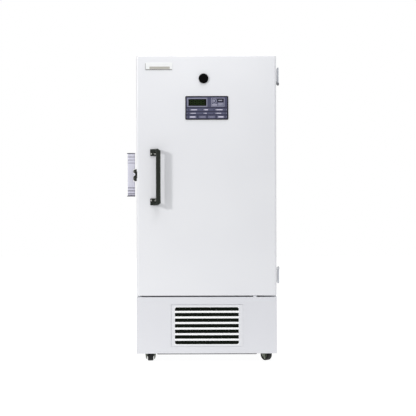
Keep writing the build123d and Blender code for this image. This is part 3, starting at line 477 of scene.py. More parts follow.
ASSIGN = {
    "cabinet_shell": M_BODY, "door_shell": M_BODY, "base_skirt": M_SKIRT, "hinge_brackets": M_HINGE,
    "wall_brackets": M_BRACKET, "grille_cover": M_GRILLE, "breaker_frame": M_LINER, "door_liner": M_LINER,
    "inner_door_upper": M_LINER, "inner_door_lower": M_LINER, "insulation_foam": M_FOAM, "door_foam": M_FOAM,
    "inner_tank": M_STEEL, "shelves": M_SHELF, "shelf_supports": M_RAIL, "hinge_pins": M_RAIL,
    "base_pan": M_ZINC, "rear_cover": M_SKIRT, "caster_plates": M_CASTPLATE, "latch_keeper": M_CLEVIS,
    "handle_screws": M_SCREW, "latch_clevis": M_CLEVIS, "hinge_lugs": M_LUG, "fan_motor": M_MOTOR,
    "fan_blades": M_FAN, "compressors": M_COMP, "door_handle": M_HANDLE, "evaporator_coil": M_COPPER,
    "refrigerant_lines": M_COPPER, "condenser": M_FIN, "nameplate_blank": M_PLATE, "latch_lever": M_LEVER,
    "door_gasket": M_GASKET, "compressor_grommets": M_RUBBER, "vent_valve_body": M_VENT, "vent_valve_cap": M_VENT,
    "power_inlet": M_BLACK, "power_switch": M_BLACK, "brake_pedal_fl": M_BLACK, "brake_pedal_fr": M_BLACK,
    "control_box": M_ZINC, "air_filter": M_FILTER, "heat_exchanger": M_JACKET, "control_bezel": M_BEZEL,
    "key_set": M_KEY, "key_up": M_KEY, "key_down": M_KEY, "key_mute": M_KEY, "display_window": M_WINDOW,
    "display_board": M_BOARD, "vent_valve_spring": M_SPRING, "access_port": M_PORT,
}
for k in ("fl", "fr", "rl", "rr"):
    ASSIGN[f"caster_fork_{k}"] = M_FORK
    ASSIGN[f"caster_wheel_{k}"] = M_TREAD
for name, obj in NODES.items():
    mat = ASSIGN[name]
    if not obj.material_slots:
        obj.data.materials.append(mat)
    for s in obj.material_slots:
        s.material = mat

# -------------------------------------------------------------- mesh helpers


def mesh_obj(name, bm, mat, smooth=True, angle=35.0):
    bmesh.ops.recalc_face_normals(bm, faces=bm.faces)
    me = bpy.data.meshes.new(name)
    bm.to_mesh(me)
    bm.free()
    ob = bpy.data.objects.new(name, me)
    bpy.context.scene.collection.objects.link(ob)
    if isinstance(mat, (list, tuple)):
        for m in mat:
            me.materials.append(m)
    else:
        me.materials.append(mat)
    if smooth:
        me.shade_smooth()
        me.set_sharp_from_angle(angle=math.radians(angle))
    return ob


def basis(axis):
    """Rotation taking +Z to the given axis."""
    return Vector((0, 0, 1)).rotation_difference(Vector(axis).normalized()).to_matrix().to_4x4()


def add_lathe(bm, origin, axis, profile, seg=32, close=True, mat_index=0):
    """Turn a list of (radius, height) in mm round an axis through origin (mm)."""
    mtx = Matrix.Translation(Vector(origin) * MM) @ basis(axis)
    rings = []
    for r, h in profile:
        if r < 1e-6:
            rings.append([bm.verts.new(mtx @ Vector((0, 0, h * MM)))])
        else:
            rings.append([bm.verts.new(mtx @ Vector((r * MM * math.cos(2 * math.pi * i / seg), r * MM * math.sin(2 * math.pi * i / seg), h * MM))) for i in range(seg)])
    faces = []
    for a, b in zip(rings[:-1], rings[1:]):
        for i in range(seg):
            j = (i + 1) % seg
            if len(a) == 1 and len(b) == 1:
                continue
            if len(a) == 1:
                faces.append(bm.faces.new((a[0], b[j], b[i])))
            elif len(b) == 1:
                faces.append(bm.faces.new((a[i], a[j], b[0])))
            else:
                faces.append(bm.faces.new((a[i], a[j], b[j], b[i])))
    if close:
        for ring in (rings[0], rings[-1]):
            if len(ring) > 2:
                faces.append(bm.faces.new(ring))
    for f in faces:
        f.material_index = mat_index
    return faces


def add_box(bm, lo, hi, bevel=0.0, seg=2, mtx=None, mat_index=0):
    """A box given in mm with rounded edges."""
    lo, hi = Vector(lo), Vector(hi)
    c, d = (lo + hi) / 2, hi - lo
    part = bmesh.new()
    bmesh.ops.create_cube(part, size=1.0, matrix=Matrix.Translation(c * MM) @ Matrix.Diagonal((d.x * MM, d.y * MM, d.z * MM, 1)))
    if bevel > 0:
        bmesh.ops.bevel(part, geom=part.edges[:] + part.verts[:], offset=bevel * MM, segments=seg, profile=0.5, affect="EDGES")
    if mtx is not None:
        bmesh.ops.transform(part, matrix=mtx, verts=part.verts)
    for f in part.faces:
        f.material_index = mat_index
    tmp = bpy.data.meshes.new("tmp")
    part.to_mesh(tmp)
    part.free()
    bm.from_mesh(tmp)
    bpy.data.meshes.remove(tmp)


def rrect(x0, x1, z0, z1, r, n=6):
    pts = []
    for cx, cz, a0 in ((x1 - r, z1 - r, 0), (x0 + r, z1 - r, 90), (x0 + r, z0 + r, 180), (x1 - r, z0 + r, 270)):
        for i in range(n + 1):
            a = math.radians(a0 + 90 * i / n)
            pts.append((cx + r * math.cos(a), cz + r * math.sin(a)))
    return pts


def ring_pts(cx, cz, r, n=28):
    return [(cx + r * math.cos(2 * math.pi * i / n), cz + r * math.sin(2 * math.pi * i / n)) for i in range(n)]


def add_prism(bm, outline, y_back, y_front, edge=0.0, mat_index=0):
    """A sheet with the outline given in x, z (mm), between two y values, its front edge eased."""
    n = len(outline)
    cx = sum(p[0] for p in outline) / n
    cz = sum(p[1] for p in outline) / n
    rows = [(1.0, 0.0, y_back), (1.0, 0.0, y_front + (edge if y_back > y_front else -edge)), (None, edge, y_front)]
    loops = []
    for _, inset, y in rows:
        loop = []
        for i, (x, z) in enumerate(outline):
            if inset:
                (xa, za), (xb, zb) = outline[i - 1], outline[(i + 1) % n]
                tx, tz = xb - xa, zb - za
                L = math.hypot(tx, tz) or 1.0
                nx, nz = -tz / L, tx / L
                if nx * (cx - x) + nz * (cz - z) < 0:
                    nx, nz = -nx, -nz
                x, z = x + nx * inset, z + nz * inset
            loop.append(bm.verts.new((x * MM, y * MM, z * MM)))
        loops.append(loop)
    for a, b in zip(loops[:-1], loops[1:]):
        for i in range(n):
            j = (i + 1) % n
            f = bm.faces.new((a[i], a[j], b[j], b[i]))
            f.material_index = mat_index
    for loop in (loops[0], loops[-1]):
        f = bm.faces.new(loop)
        f.material_index = mat_index


def plate_with_holes(name, outline, holes, y0, y1, mat, bevel=0.0):
    """A flat sheet with holes; outlines in x, z (mm), thickness from y0 to y1."""
    cu = bpy.data.curves.new(name + "_c", "CURVE")
    cu.dimensions = "2D"
    cu.fill_mode = "BOTH"
    cu.extrude = (abs(y1 - y0) / 2 - bevel) * MM
    cu.bevel_depth = bevel * MM
    cu.bevel_resolution = 1
    for pts in [outline, *holes]:
        sp = cu.splines.new("POLY")
        sp.points.add(len(pts) - 1)
        for p, (x, z) in zip(sp.points, pts):
            p.co = (x * MM, z * MM, 0, 1)
        sp.use_cyclic_u = True
    ob = bpy.data.objects.new(name + "_c", cu)
    bpy.context.scene.collection.objects.link(ob)
    bpy.context.view_layer.update()
    dg = bpy.context.evaluated_depsgraph_get()
    me = bpy.data.meshes.new_from_object(ob.evaluated_get(dg))
    bpy.data.objects.remove(ob)
    bpy.data.curves.remove(cu)
    ym = (y0 + y1) / 2 * MM
    me.transform(Matrix(((1, 0, 0, 0), (0, 0, -1, ym), (0, 1, 0, 0), (0, 0, 0, 1))))
    bm = bmesh.new()
    bm.from_mesh(me)
    bpy.data.meshes.remove(me)
    bmesh.ops.remove_doubles(bm, verts=bm.verts, dist=1e-7)
    for f in bm.faces:
        f.material_index = 0
    return mesh_obj(name, bm, mat, angle=30)


def pan_head(r, h):
    """Cross recess pan head master, base on z = 0, head up +Z, in metres."""
    arm, half = 0.56 * r, 0.1 * r
    tip = math.atan2(half, arm)
    step = [-math.pi / 4, -math.pi / 6, -tip, -tip / 2, 0.0, tip / 2, tip, math.pi / 6]
    angs = [math.radians(20) + k * math.pi / 2 + t for k in range(4) for t in step]
    cross = [min(arm / math.cos(t), half / max(abs(math.sin(t)), 1e-6)) for k in range(4) for t in step]
    a = bmesh.new()

    def dome(q):
        return h * (1.0 - 0.15 * (q / r) ** 2)

    rows = [([q] * 32, [z] * 32) for q, z in ((r * 0.96, -0.6), (r, 0.0), (r, h * 0.35), (r * 0.93, h * 0.68), (r * 0.84, h * 0.82), (r * 0.74, dome(r * 0.74)), (r * 0.62, dome(r * 0.62)))]
    rows.append((cross, [dome(q) for q in cross]))
    rows.append(([q * 0.9 for q in cross], [h * 0.42] * 32))
    rings = [[a.verts.new((q * math.cos(t) * MM, q * math.sin(t) * MM, z * MM)) for q, z, t in zip(qs, zs, angs)] for qs, zs in rows]
    for lo, hi in zip(rings[:-1], rings[1:]):
        for i in range(32):
            j = (i + 1) % 32
            a.faces.new((lo[i], lo[j], hi[j], hi[i]))
    for ring, z in ((rings[0], -0.6), (rings[-1], h * 0.38)):
        mid = a.verts.new((0.0, 0.0, z * MM))
        for i in range(32):
            a.faces.new((ring[i], ring[(i + 1) % 32], mid))
    bmesh.ops.recalc_face_normals(a, faces=a.faces)
    me = bpy.data.meshes.new("pan_master")
    a.to_mesh(me)
    a.free()
    return me


def hex_head(r, h):
    """Flanged hex head master."""
    a = bmesh.new()
    add_lathe(a, (0, 0, 0), (0, 0, 1), [(0, -0.5), (r * 1.25, -0.5), (r * 1.28, 0.15), (r * 1.2, 0.7), (r * 0.9, 0.9), (0, 0.9)], 30, close=False)
    part = bmesh.new()
    hexv = [(r * math.cos(math.radians(60 * i + 30)), r * math.sin(math.radians(60 * i + 30))) for i in range(6)]
    rows = []
    for z, k in ((0.5, 1.0), (h * 0.86, 1.0), (h, 0.9)):
        rows.append([a.verts.new((x * k * MM, y * k * MM, z * MM)) for x, y in hexv])
    for p, q in zip(rows[:-1], rows[1:]):
        for i in range(6):
            j = (i + 1) % 6
            a.faces.new((p[i], p[j], q[j], q[i]))
    a.faces.new(rows[0])
    a.faces.new(rows[-1])
    part.free()
    bmesh.ops.recalc_face_normals(a, faces=a.faces)
    me = bpy.data.meshes.new("hex_master")
    a.to_mesh(me)
    a.free()
    return me


PAN = {r: pan_head(r, r * 0.55) for r in (2.6, 3.4, 4.0, 4.6)}
HEX = {r: hex_head(r, r * 0.75) for r in (4.5, 6.0)}


def screws(name, spots, master, mat, body, turn=True):
    """Joined copies of a screw head at [(point mm, outward axis)]."""
    bm = bmesh.new()
    for i, (p, ax) in enumerate(spots):
        mtx = Matrix.Translation(Vector(p) * MM) @ basis(ax)
        if turn:
            mtx = mtx @ Matrix.Rotation(math.radians((i * 47) % 90), 4, "Z")
        me = master.copy()
        me.transform(mtx)
        bm.from_mesh(me)
        bpy.data.meshes.remove(me)
    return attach(mesh_obj(name, bm, mat, angle=40), body)


# ------------------------------------------------------------- control panel
CP = (-136.0, 142.4, 1567.0, 1721.0)
WIN = (-115.9, 0.6, 1656.3, 1701.6)
KEYS = {"key_set": -88.0, "key_up": -24.0, "key_down": 33.5, "key_mute": 94.0}
KEY_Z, KEY_W, KEY_H = 1585.0, 47.0, 16.0
F0, F1 = -474.0, -474.45

holes = [rrect(WIN[0] - 0.6, WIN[1] + 0.6, WIN[2] - 0.6, WIN[3] + 0.6, 1.5, 3)]
for kx in KEYS.values():
    holes.append(rrect(kx - KEY_W / 2 - 0.9, kx + KEY_W / 2 + 0.9, KEY_Z - KEY_H / 2 - 0.9, KEY_Z + KEY_H / 2 + 0.9, 3.4, 4))
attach(plate_with_holes("panel_membrane", rrect(CP[0] + 7.4, CP[1] - 7.4, CP[2] + 7.4, CP[3] - 7.4, 2.8), holes, F0, F1, M_SLATE, 0.05), "outer_door")

# raised lighter frame round the window
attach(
    plate_with_holes("window_frame", rrect(WIN[0] - 8.5, WIN[1] + 6.5, WIN[2] - 6.5, WIN[3] + 7.5, 4.0), [rrect(WIN[0] + 0.3, WIN[1] - 0.3, WIN[2] + 0.3, WIN[3] - 0.3, 1.2, 3)], F1 + 0.05, F1 - 0.45, M_LAVENDER, 0.08),
    "outer_door",
)

# digits behind the smoked window: three unlit seven segment figures
bm = bmesh.new()
dw, dh, th, dz = 16.0, 27.0, 2.4, 1679.0


def seg_h(cx, cz, w, t):
    return [(cx - w / 2, cz), (cx - w / 2 + t / 2, cz + t / 2), (cx + w / 2 - t / 2, cz + t / 2), (cx + w / 2, cz), (cx + w / 2 - t / 2, cz - t / 2), (cx - w / 2 + t / 2, cz - t / 2)]


def seg_v(cx, cz, h, t):
    return [(cx, cz + h / 2), (cx + t / 2, cz + h / 2 - t / 2), (cx + t / 2, cz - h / 2 + t / 2), (cx, cz - h / 2), (cx - t / 2, cz - h / 2 + t / 2), (cx - t / 2, cz + h / 2 - t / 2)]


for dx in (-94.0, -70.0, -46.0, -22.0):
    for zc in (dz + dh / 2, dz, dz - dh / 2):
        add_prism(bm, seg_h(dx, zc, dw - th * 0.6, th), -474.18, -474.3)
    for sx in (-1, 1):
        for sz in (-1, 1):
            add_prism(bm, seg_v(dx + sx * dw / 2, dz + sz * dh / 4, dh / 2 - th * 0.3, th), -474.18, -474.3)
    add_prism(bm, ring_pts(dx + dw / 2 + 3.6, dz - dh / 2, 1.5, 14), -474.18, -474.3)
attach(mesh_obj("digit_segments", bm, M_GHOST), "outer_door")

# status rows: lamp, label bar and dim strip in three columns
lamps, bars, dims, darks = bmesh.new(), bmesh.new(), bmesh.new(), bmesh.new()
ROWS = [(1631.5, 5.6), (1609.0, 4.2)]
COLS = [(-106.5, -59.0, -29.5), (-20.5, 11.5, 43.5), (57.0, 105.0, 122.0)]
for zc, hgt in ROWS:
    for x0, x1, x2 in COLS:
        bars_x1 = x1 - (8.0 if zc < 1620 else 0.0)
        add_lathe(lamps, (x0 + 2.6, F1 + 0.02, zc), (0, -1, 0), [(0, 0), (2.7, 0), (2.7, 0.25), (2.0, 0.6), (0.9, 0.8), (0, 0.85)], 20, close=False)
        add_prism(bars, rrect(x0 + 7.6, bars_x1, zc - hgt / 2, zc + hgt / 2, 1.2, 3), F1 + 0.02, F1 - 0.14, 0.04)
        add_prism(dims, rrect(bars_x1 + 3.0, x2, zc - 1.6, zc + 1.6, 0.8, 3), F1 + 0.02, F1 - 0.1, 0.03)
for zc in (1631.5, 1609.0, 1585.0):
    for x in (-124.6, 129.6):
        add_lathe(lamps, (x, F1 + 0.02, zc), (0, -1, 0), [(0, 0), (2.1, 0), (2.1, 0.2), (1.4, 0.5), (0, 0.62)], 18, close=False)
for zc in (1646.0, 1620.2, 1598.2):
    add_prism(darks, rrect(CP[0] + 9, CP[1] - 9, zc - 1.5, zc + 1.5, 0.7, 2), F1 + 0.02, F1 - 0.08, 0.02)
for x in (-118.5, 121.5):
    add_prism(darks, rrect(x - 0.9, x + 0.9, 1577.5, 1644.0, 0.4, 2), F1 + 0.02, F1 - 0.06, 0.02)
for x in (-56.0, 4.8, 63.8):
    add_prism(darks, rrect(x - 1.3, x + 1.3, 1577.0, 1595.0, 0.6, 2), F1 + 0.02, F1 - 0.06, 0.02)
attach(mesh_obj("status_lamps", lamps, M_LED_OFF), "outer_door")
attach(mesh_obj("label_bars", bars, M_LEGEND), "outer_door")
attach(mesh_obj("label_strips_dim", dims, M_LEGEND_DIM), "outer_door")
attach(mesh_obj("zone_lines", darks, M_SLATE_DARK), "outer_door")

# simple diagram field at the right: outlined block, round dial and bars
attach(plate_with_holes("diagram_outline", rrect(32.0, 117.5, 1651.5, 1708.5, 3.0), [rrect(34.6, 114.9, 1654.1, 1705.9, 2.0, 3)], F1 + 0.02, F1 - 0.16, M_PICTO, 0.03), "outer_door")
dg = bmesh.new()
add_prism(dg, rrect(71.5, 112.0, 1681.0, 1703.0, 2.0, 3), F1 + 0.02, F1 - 0.08, 0.02, 0)
add_prism(dg, rrect(74.5, 112.0, 1656.8, 1677.0, 2.0, 3), F1 + 0.02, F1 - 0.08, 0.02, 1)
add_prism(dg, rrect(37.5, 71.0, 1656.8, 1670.0, 2.0, 3), F1 + 0.02, F1 - 0.1, 0.02, 2)
add_prism(dg, rrect(78.0, 103.0, 1688.5, 1695.0, 1.5, 3), F1 - 0.06, F1 - 0.2, 0.02, 2)
for i in range(3):
    add_prism(dg, rrect(79.0, 104.0 - 4 * i, 1672.5 - 5.6 * i - 1.1, 1672.5 - 5.6 * i + 1.1, 0.6, 2), F1 - 0.06, F1 - 0.18, 0.02, 2)
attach(mesh_obj("diagram_fields", dg, [M_SLATE_DARK, M_LAVENDER, M_PICTO]), "outer_door")
dial = bmesh.new()
add_lathe(dial, (52.5, F1, 1687.5), (0, -1, 0), [(12.4, 0), (15.4, 0), (15.4, 0.2), (14.9, 0.3), (12.9, 0.3), (12.4, 0.2), (12.4, 0)], 40, close=False)
add_lathe(dial, (50.5, F1, 1689.0), (0, -1, 0), [(0, 0), (6.2, 0), (6.2, 0.2), (5.6, 0.36), (0, 0.4)], 28, close=False)
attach(mesh_obj("diagram_dial", dial, M_PICTO), "outer_door")

# one light bar on each key
for body, kx in KEYS.items():
    kb = bmesh.new()
    w = {"key_set": 35.0, "key_up": 31.0, "key_down": 26.0, "key_mute": 33.0}[body]
    add_prism(kb, rrect(kx - w / 2, kx + w / 2, KEY_Z - 3.1, KEY_Z + 3.4, 1.6, 3), -474.88, -474.98, 0.02)
    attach(mesh_obj(body + "_bar", kb, M_LEGEND if body in ("key_set", "key_mute") else M_LAVENDER), body)

# thin white bead round the bezel
M_BEAD = moulded("bezel_bead_white", srgb(254, 254, 255), srgb(244, 245, 248), 0.5)
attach(plate_with_holes("bezel_seal", rrect(CP[0] - 1.8, CP[1] + 1.8, CP[2] - 1.8, CP[3] + 1.8, 8.5), [rrect(CP[0] + 1.5, CP[1] - 1.5, CP[2] + 1.5, CP[3] - 1.5, 6.0)], -469.95, -471.0, M_BEAD, 0.25), "outer_door")

# ------------------------------------------------------------------ nameplate
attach(plate_with_holes("nameplate_rim", rrect(-393.6, -219.2, 1889.6, 1937.8, 3.0), [rrect(-391.4, -221.4, 1892.6, 1936.2, 2.0)], -472.35, -472.85, M_PLATE, 0.1), "outer_door")
nb = bmesh.new()
add_prism(nb, rrect(-367.0, -236.0, 1895.8, 1912.0, 1.5, 3), -472.45, -472.62, 0.04)
M_WARM = brushed("nameplate_warm_band", srgb(196, 193, 184), srgb(182, 179, 170), "x", 0.42, metal=0.3, aniso=0.2)
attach(mesh_obj("nameplate_band", nb, M_WARM), "outer_door")
# Painted shadow: grey strips along the nameplate's lower and left edges.
ne = bmesh.new()
add_prism(ne, rrect(-393.2, -221.5, 1889.9, 1894.4, 0.9, 2), -472.4, -473.0, 0.1)
add_prism(ne, rrect(-394.4, -392.2, 1894.0, 1934.0, 0.8, 2), -470.4, -472.95, 0.1)
M_PLATE_SHADOW = moulded("nameplate_painted_shadow", srgb(112, 111, 107), srgb(98, 97, 93), 0.5, spec=0.2)
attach(mesh_obj("nameplate_shadow_edges", ne, M_PLATE_SHADOW), "outer_door")

# ----------------------------------------------------------------- vent valve
vv = bmesh.new()
VX, VZ = -17.6, 1834.6
add_lathe(vv, (VX, -484.0, VZ), (0, -1, 0), [(17.0, -0.5), (18.0, 0.1), (19.4, 0.35), (20.8, 0.1), (21.8, -0.5)], 64, close=False)
for i in range(24):
    a = 2 * math.pi * i / 24
    c, s_ = math.cos(a), math.sin(a)
    add_lathe(vv, (VX + 25.4 * c, -483.2, VZ + 25.4 * s_), (0, -1, 0), [(0, -0.8), (0.9, -0.8), (0.9, 0.2), (0.6, 0.45), (0, 0.5)], 10, close=False)
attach(mesh_obj("vent_cap_ribs", vv, M_VENT), "vent_cap")

# return spring of the vent cap: wound wire with closed end coils
sb = bmesh.new()
turns, per, wire_r, coil_r = 5.5, 28, 0.6, 11.5
y_a, y_b = -462.85, -474.9
n_pts = int(turns * per)
path = []
for i in range(n_pts + 1):
    t = turns * i / n_pts
    f = min(max((t - 0.9) / (turns - 1.8), 0.0), 1.0)
    y = y_a - 1.15 * min(t, 0.9) / 0.9 + (y_b - y_a + 2.3) * f - 1.15 * max(0.0, t - turns + 0.9) / 0.9
    a = 2 * math.pi * t
    path.append(Vector((VX + coil_r * math.cos(a), y, VZ + coil_r * math.sin(a))) * MM)
rings = []
for i, pnt in enumerate(path):
    d = (path[min(i + 1, n_pts)] - path[max(i - 1, 0)]).normalized()
    u = d.cross(Vector((0, 1, 0))).normalized()
    w_ = u.cross(d).normalized()
    rings.append([sb.verts.new(pnt + (u * math.cos(k * math.pi / 5) + w_ * math.sin(k * math.pi / 5)) * wire_r * MM) for k in range(10)])
for ra, rb in zip(rings[:-1], rings[1:]):
    for k in range(10):
        sb.faces.new((ra[k], ra[(k + 1) % 10], rb[(k + 1) % 10], rb[k]))
sb.faces.new(rings[0])
sb.faces.new(rings[-1])
spring = mesh_obj("vent_spring_wire", sb, M_SPRING)
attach(spring, "outer_door")
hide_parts("vent_valve_spring")
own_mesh(spring)

# ----------------------------------------------------------- fixings and trim
screws("hinge_leaf_screws", [((456.4, y, z), (1, 0, 0)) for z in (1835.0, 1869.0, 1903.0, 512.0, 545.0, 578.0) for y in (-308.0, -275.0)], PAN[4.6], M_SCREW, "cabinet")
screws("latch_front_screws", [((-463.5, -410.3, z), (0, -1, 0)) for z in (1236.5, 1191.8)], PAN[4.0], M_HUBCAP, "outer_door")
cl = bmesh.new()
for z in (1236.5, 1191.8):
    add_lathe(cl, (-464.0, -410.4, z), (0, -1, 0), [(6.6, -0.6), (6.6, 0.25), (6.1, 0.55), (0, 0.55)], 36, close=False)
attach(mesh_obj("latch_boss_faces", cl, M_HUBCAP), "outer_door")
# strap of the clevis that wraps the rounded edge of the door
cs = bmesh.new()
secs = [(-452.0, None)] + [(None, math.radians(180.0 + 6.0 * i)) for i in range(9)]
for z0, z1 in ((1190.0, 1233.0),):
    cols = []
    for yy, ang_ in secs:
        pts = []
        for rad in (14.12, 16.5):
            if ang_ is None:
                pts.append((-439.0 - rad, yy))
            else:
                pts.append((-439.0 + rad * math.cos(ang_), -456.0 + rad * math.sin(ang_)))
        cols.append([cs.verts.new(Vector((x_, y_, z_)) * MM) for x_, y_ in pts for z_ in (z0, z1)])
    for ca, cb in zip(cols[:-1], cols[1:]):
        for i, j in ((0, 1), (1, 3), (3, 2), (2, 0)):
            cs.faces.new((ca[i], ca[j], cb[j], cb[i]))
    cs.faces.new((cols[0][0], cols[0][1], cols[0][3], cols[0][2]))
    cs.faces.new((cols[-1][0], cols[-1][1], cols[-1][3], cols[-1][2]))
bmesh.ops.recalc_face_normals(cs, faces=cs.faces[:])
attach(mesh_obj("latch_strap", cs, M_CLEVIS), "outer_door")
screws("latch_base_screws", [((-457.0, y, z), (-1, 0, 0)) for y in (-440.0, -428.0) for z in (1184.0, 1238.0)], PAN[3.4], M_CLEVIS, "outer_door")
screws("keeper_screws", [((-457.0, -330.0, z), (-1, 0, 0)) for z in (1191.0, 1242.0)], PAN[4.0], M_SCREW, "cabinet")
screws("hinge_lug_screws", [((456.5, y, z), (1, 0, 0)) for z in (1811.5, 598.5) for y in (-440.0, -415.0)], PAN[3.4], M_SCREW, "outer_door")
screws("wall_bracket_bolts", [((x + d, 472.9, 1868.0), (0, 1, 0)) for x in (-300.0, 300.0) for d in (-12.0, 12.0)], HEX[4.5], M_ZINC, "cabinet")
rear_spots = [(x, z) for x in (-438.0, -150.0, 150.0, 438.0) for z in (74.0, 402.0)] + [(-438.0, 238.0), (438.0, 238.0)]
screws("rear_cover_screws", [((x, 469.95, z), (0, 1, 0)) for x, z in rear_spots], PAN[3.4], M_SCREW, "cabinet")
screws("inlet_screws", [((345.0 - 31.0, 472.4, 300.0 + dz_), (0, 1, 0)) for dz_ in (-22.0, 22.0)] + [((345.0 + 65.0, 472.4, 300.0 + dz_), (0, 1, 0)) for dz_ in (-22.0, 22.0)], PAN[2.6], M_SCREW, "cabinet")
screws("port_screws", [((-200 + 21.5 * math.cos(a), 473.9, 1600 + 21.5 * math.sin(a)), (0, 1, 0)) for a in (math.pi / 4, 3 * math.pi / 4, 5 * math.pi / 4, 7 * math.pi / 4)], PAN[2.6], M_SCREW, "cabinet")
screws("skirt_side_screws", [((s * 453.0, y, z), (s, 0, 0)) for s in (-1, 1) for y in (-380.0, 0.0, 380.0) for z in (121.0,)], PAN[3.4], M_SKIRT, "cabinet")

# folded rail that closes the skirt's lower edge between the casters
lr = bmesh.new()
add_box(lr, (-318.0, -466.5, 48.5), (318.0, -464.0, 66.0), 0.6, 2)
add_box(lr, (-318.0, -466.5, 48.5), (318.0, -424.0, 50.5), 0.6, 2)
for sx in (-1, 1):
    add_box(lr, (sx * 318.0, -465.0, 48.5), (sx * 323.0, -424.0, 104.0), 0.8, 2)
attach(mesh_obj("lower_rail", lr, M_BLACK), "cabinet")

# small glide block in the gap under the door
gb = bmesh.new()
add_box(gb, (300.0, -467.0, 418.8), (322.0, -446.0, 426.6), 1.2, 3)
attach(mesh_obj("door_glide_block", gb, M_GRILLE), "cabinet")

# --------------------------------------------------------------------- casters
CASTERS = {"fl": (-370.0, -380.0, 4.0), "fr": (370.0, -380.0, 40.0), "rl": (-370.0, 380.0, 168.0), "rr": (370.0, 380.0, 205.0)}
# Painted sheen: a lighter band round the middle of each tread stands for the highlight on the tread's crown.
M_SHEEN = rubber("tread_painted_sheen", srgb(50, 56, 44), srgb(62, 68, 54), 0.55)
for k, (px, py, ang) in CASTERS.items():
    a = math.radians(ang)
    ax = Vector((math.cos(a), math.sin(a), 0))
    c = Vector((px + 28 * math.sin(a), py - 28 * math.cos(a), 37.5))
    w = bmesh.new()
    for s in (-1, 1):
        o = c + ax * s * 15.0
        add_lathe(w, o, ax * s, [(12.4, -0.1), (12.4, 1.6), (14.2, 2.2), (21.0, 2.2), (23.6, 1.2), (24.8, 0.2), (24.8, -0.1)], 48, close=False)
        for i in range(6):
            t = 2 * math.pi * i / 6
            u = Vector((-math.sin(a), math.cos(a), 0)) * math.cos(t) + Vector((0, 0, 1)) * math.sin(t)
            add_lathe(w, o + u * 18.0, ax * s, [(0, 2.0), (2.6, 2.0), (2.6, 2.5), (2.1, 2.8), (0, 2.8)], 14, close=False)
    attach(mesh_obj(f"wheel_core_{k}", w, M_HUBCAP), f"wheel_{k}")
    t_ = bmesh.new()
    add_lathe(t_, c, ax, [(37.3, -5.4), (37.49, -5.0), (37.49, 5.0), (37.3, 5.4)], 72, close=False)
    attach(mesh_obj(f"tread_sheen_bands_{k}", t_, M_SHEEN), f"wheel_{k}")

# ------------------------------------------------------------- inside details
ih = bmesh.new()
for nm, zm in (("upper", (1202.5 + 1829.0) / 2), ("lower", (569.0 + 1195.5) / 2)):
    b = bmesh.new()
    add_box(b, (-283.0, -371.0, zm - 26), (-268.5, -361.0, zm + 26), 2.5, 3)
    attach(mesh_obj(f"inner_pull_{nm}", b, M_GASKET), f"inner_door_{nm}")
ih.free()

# ------------------------------------------------------------------ the floor
bpy.ops.mesh.primitive_plane_add(size=1, location=(0, 5.0, 0))
floor = bpy.context.object
floor.name = "floor"
floor.scale = (12.0, 14.4, 1.0)


def floor_mat():
    a = Mat("floor_pale", (0.10, 0.10, 0.102, 1.0), 0.7, spec=0.05)
    a.vary(0.8, (0.08, 0.08, 0.085, 1.0), 0.4, 0.7, 3.0, 1.0)
    a.roughness(3.0, 0.05)
    a.b.inputs["Emission Color"].default_value = (1, 1, 1, 1)
    a.b.inputs["Emission Strength"].default_value = 0.955
    return a.done()


floor.data.materials.append(floor_mat())

# --------------------------------------------------------------- light, camera
sc = bpy.context.scene
sc.view_settings.view_transform = "Standard"
sc.view_settings.look = "None"
sc.view_settings.exposure = 0.0
sc.view_settings.gamma = 1.0

WORLD_SIDE, WORLD_FRONT = 0.34, 0.42
world = bpy.data.worlds.new("studio")
sc.world = world
world.use_nodes = True
wn = world.node_tree
wn.nodes.clear()
wo = wn.nodes.new("ShaderNodeOutputWorld")
mixs = wn.nodes.new("ShaderNodeMixShader")
lp = wn.nodes.new("ShaderNodeLightPath")
seen = wn.nodes.new("ShaderNodeBackground")
lit = wn.nodes.new("ShaderNodeBackground")
seen.inputs["Color"].default_value = (1, 1, 1, 1)
seen.inputs["Strength"].default_value = 1.0
lit.inputs["Color"].default_value = (0.985, 0.99, 1.0, 1)
wt = wn.nodes.new("ShaderNodeTexCoord")
ws = wn.nodes.new("ShaderNodeSeparateXYZ")
wm = wn.nodes.new("ShaderNodeMapRange")
wm.inputs["From Min"].default_value = 0.1
wm.inputs["From Max"].default_value = -0.9
wm.inputs["To Min"].default_value = WORLD_SIDE
wm.inputs["To Max"].default_value = WORLD_FRONT
wn.links.new(wt.outputs["Generated"], ws.inputs[0])
wn.links.new(ws.outputs["Y"], wm.inputs["Value"])
wr = wn.nodes.new("ShaderNodeMapRange")
wr.interpolation_type = "SMOOTHSTEP"
wr.inputs["From Min"].default_value = 0.55
wr.inputs["From Max"].default_value = 1.0
wr.inputs["To Min"].default_value = 0.0
wr.inputs["To Max"].default_value = 0.55
wa = wn.nodes.new("ShaderNodeMath")
wa.operation = "ADD"
wn.links.new(ws.outputs["X"], wr.inputs["Value"])
wn.links.new(wm.outputs[0], wa.inputs[0])
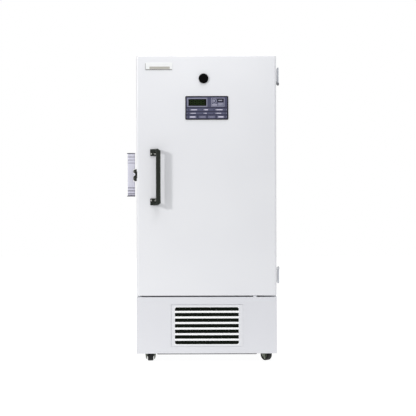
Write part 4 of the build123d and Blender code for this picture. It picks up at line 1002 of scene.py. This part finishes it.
wn.links.new(wr.outputs[0], wa.inputs[1])
wn.links.new(wa.outputs[0], lit.inputs["Strength"])
wn.links.new(lp.outputs["Is Camera Ray"], mixs.inputs[0])
wn.links.new(lit.outputs[0], mixs.inputs[1])
wn.links.new(seen.outputs[0], mixs.inputs[2])
wn.links.new(mixs.outputs[0], wo.inputs["Surface"])


def area(name, where, target, size, power, colour=(1, 1, 1)):
    d = bpy.data.lights.new(name, "AREA")
    d.shape = "DISK"
    d.size = size
    d.energy = power
    d.color = colour
    o = bpy.data.objects.new(name, d)
    sc.collection.objects.link(o)
    o.location = where
    o.rotation_mode = "QUATERNION"
    o.rotation_quaternion = (Vector(target) - Vector(where)).to_track_quat("-Z", "Y")
    return o


def sun(name, direction, strength, angle, colour=(1, 1, 1)):
    d = bpy.data.lights.new(name, "SUN")
    d.energy = strength
    d.angle = math.radians(angle)
    d.color = colour
    o = bpy.data.objects.new(name, d)
    sc.collection.objects.link(o)
    o.rotation_mode = "QUATERNION"
    o.rotation_quaternion = Vector(direction).to_track_quat("-Z", "Y")
    return o


sun("floor_sun", (0.0, 0.05, -1.0), 1.9, 60.0)
area("key_left", (-3.95, -3.45, 2.5), (-0.05, -0.47, 1.25), 0.5, 94.0, (1.0, 0.992, 0.985))
area("top_soft", (0.10, -1.65, 3.05), (0.0, -0.47, 1.65), 0.9, 8.6, (0.995, 0.998, 1.0))

cam_d = bpy.data.cameras.new("camera")
cam = bpy.data.objects.new("camera", cam_d)
sc.collection.objects.link(cam)
sc.camera = cam
DIST = 6.0
cam_d.sensor_fit = "HORIZONTAL"
cam_d.sensor_width = 36.0
cam_d.lens = 36.0 * DIST / (6.474 * 416 * MM)
cam_d.dof.use_dof = False
cam_d.clip_end = 100.0
cam.location = (0.0093, -0.470 - DIST, 0.996)
cam.rotation_mode = "QUATERNION"
look = Vector((0, 1, 0)).to_track_quat("-Z", "Y")
cam.rotation_quaternion = look @ Matrix.Rotation(math.radians(-0.15), 3, "Z").to_quaternion()
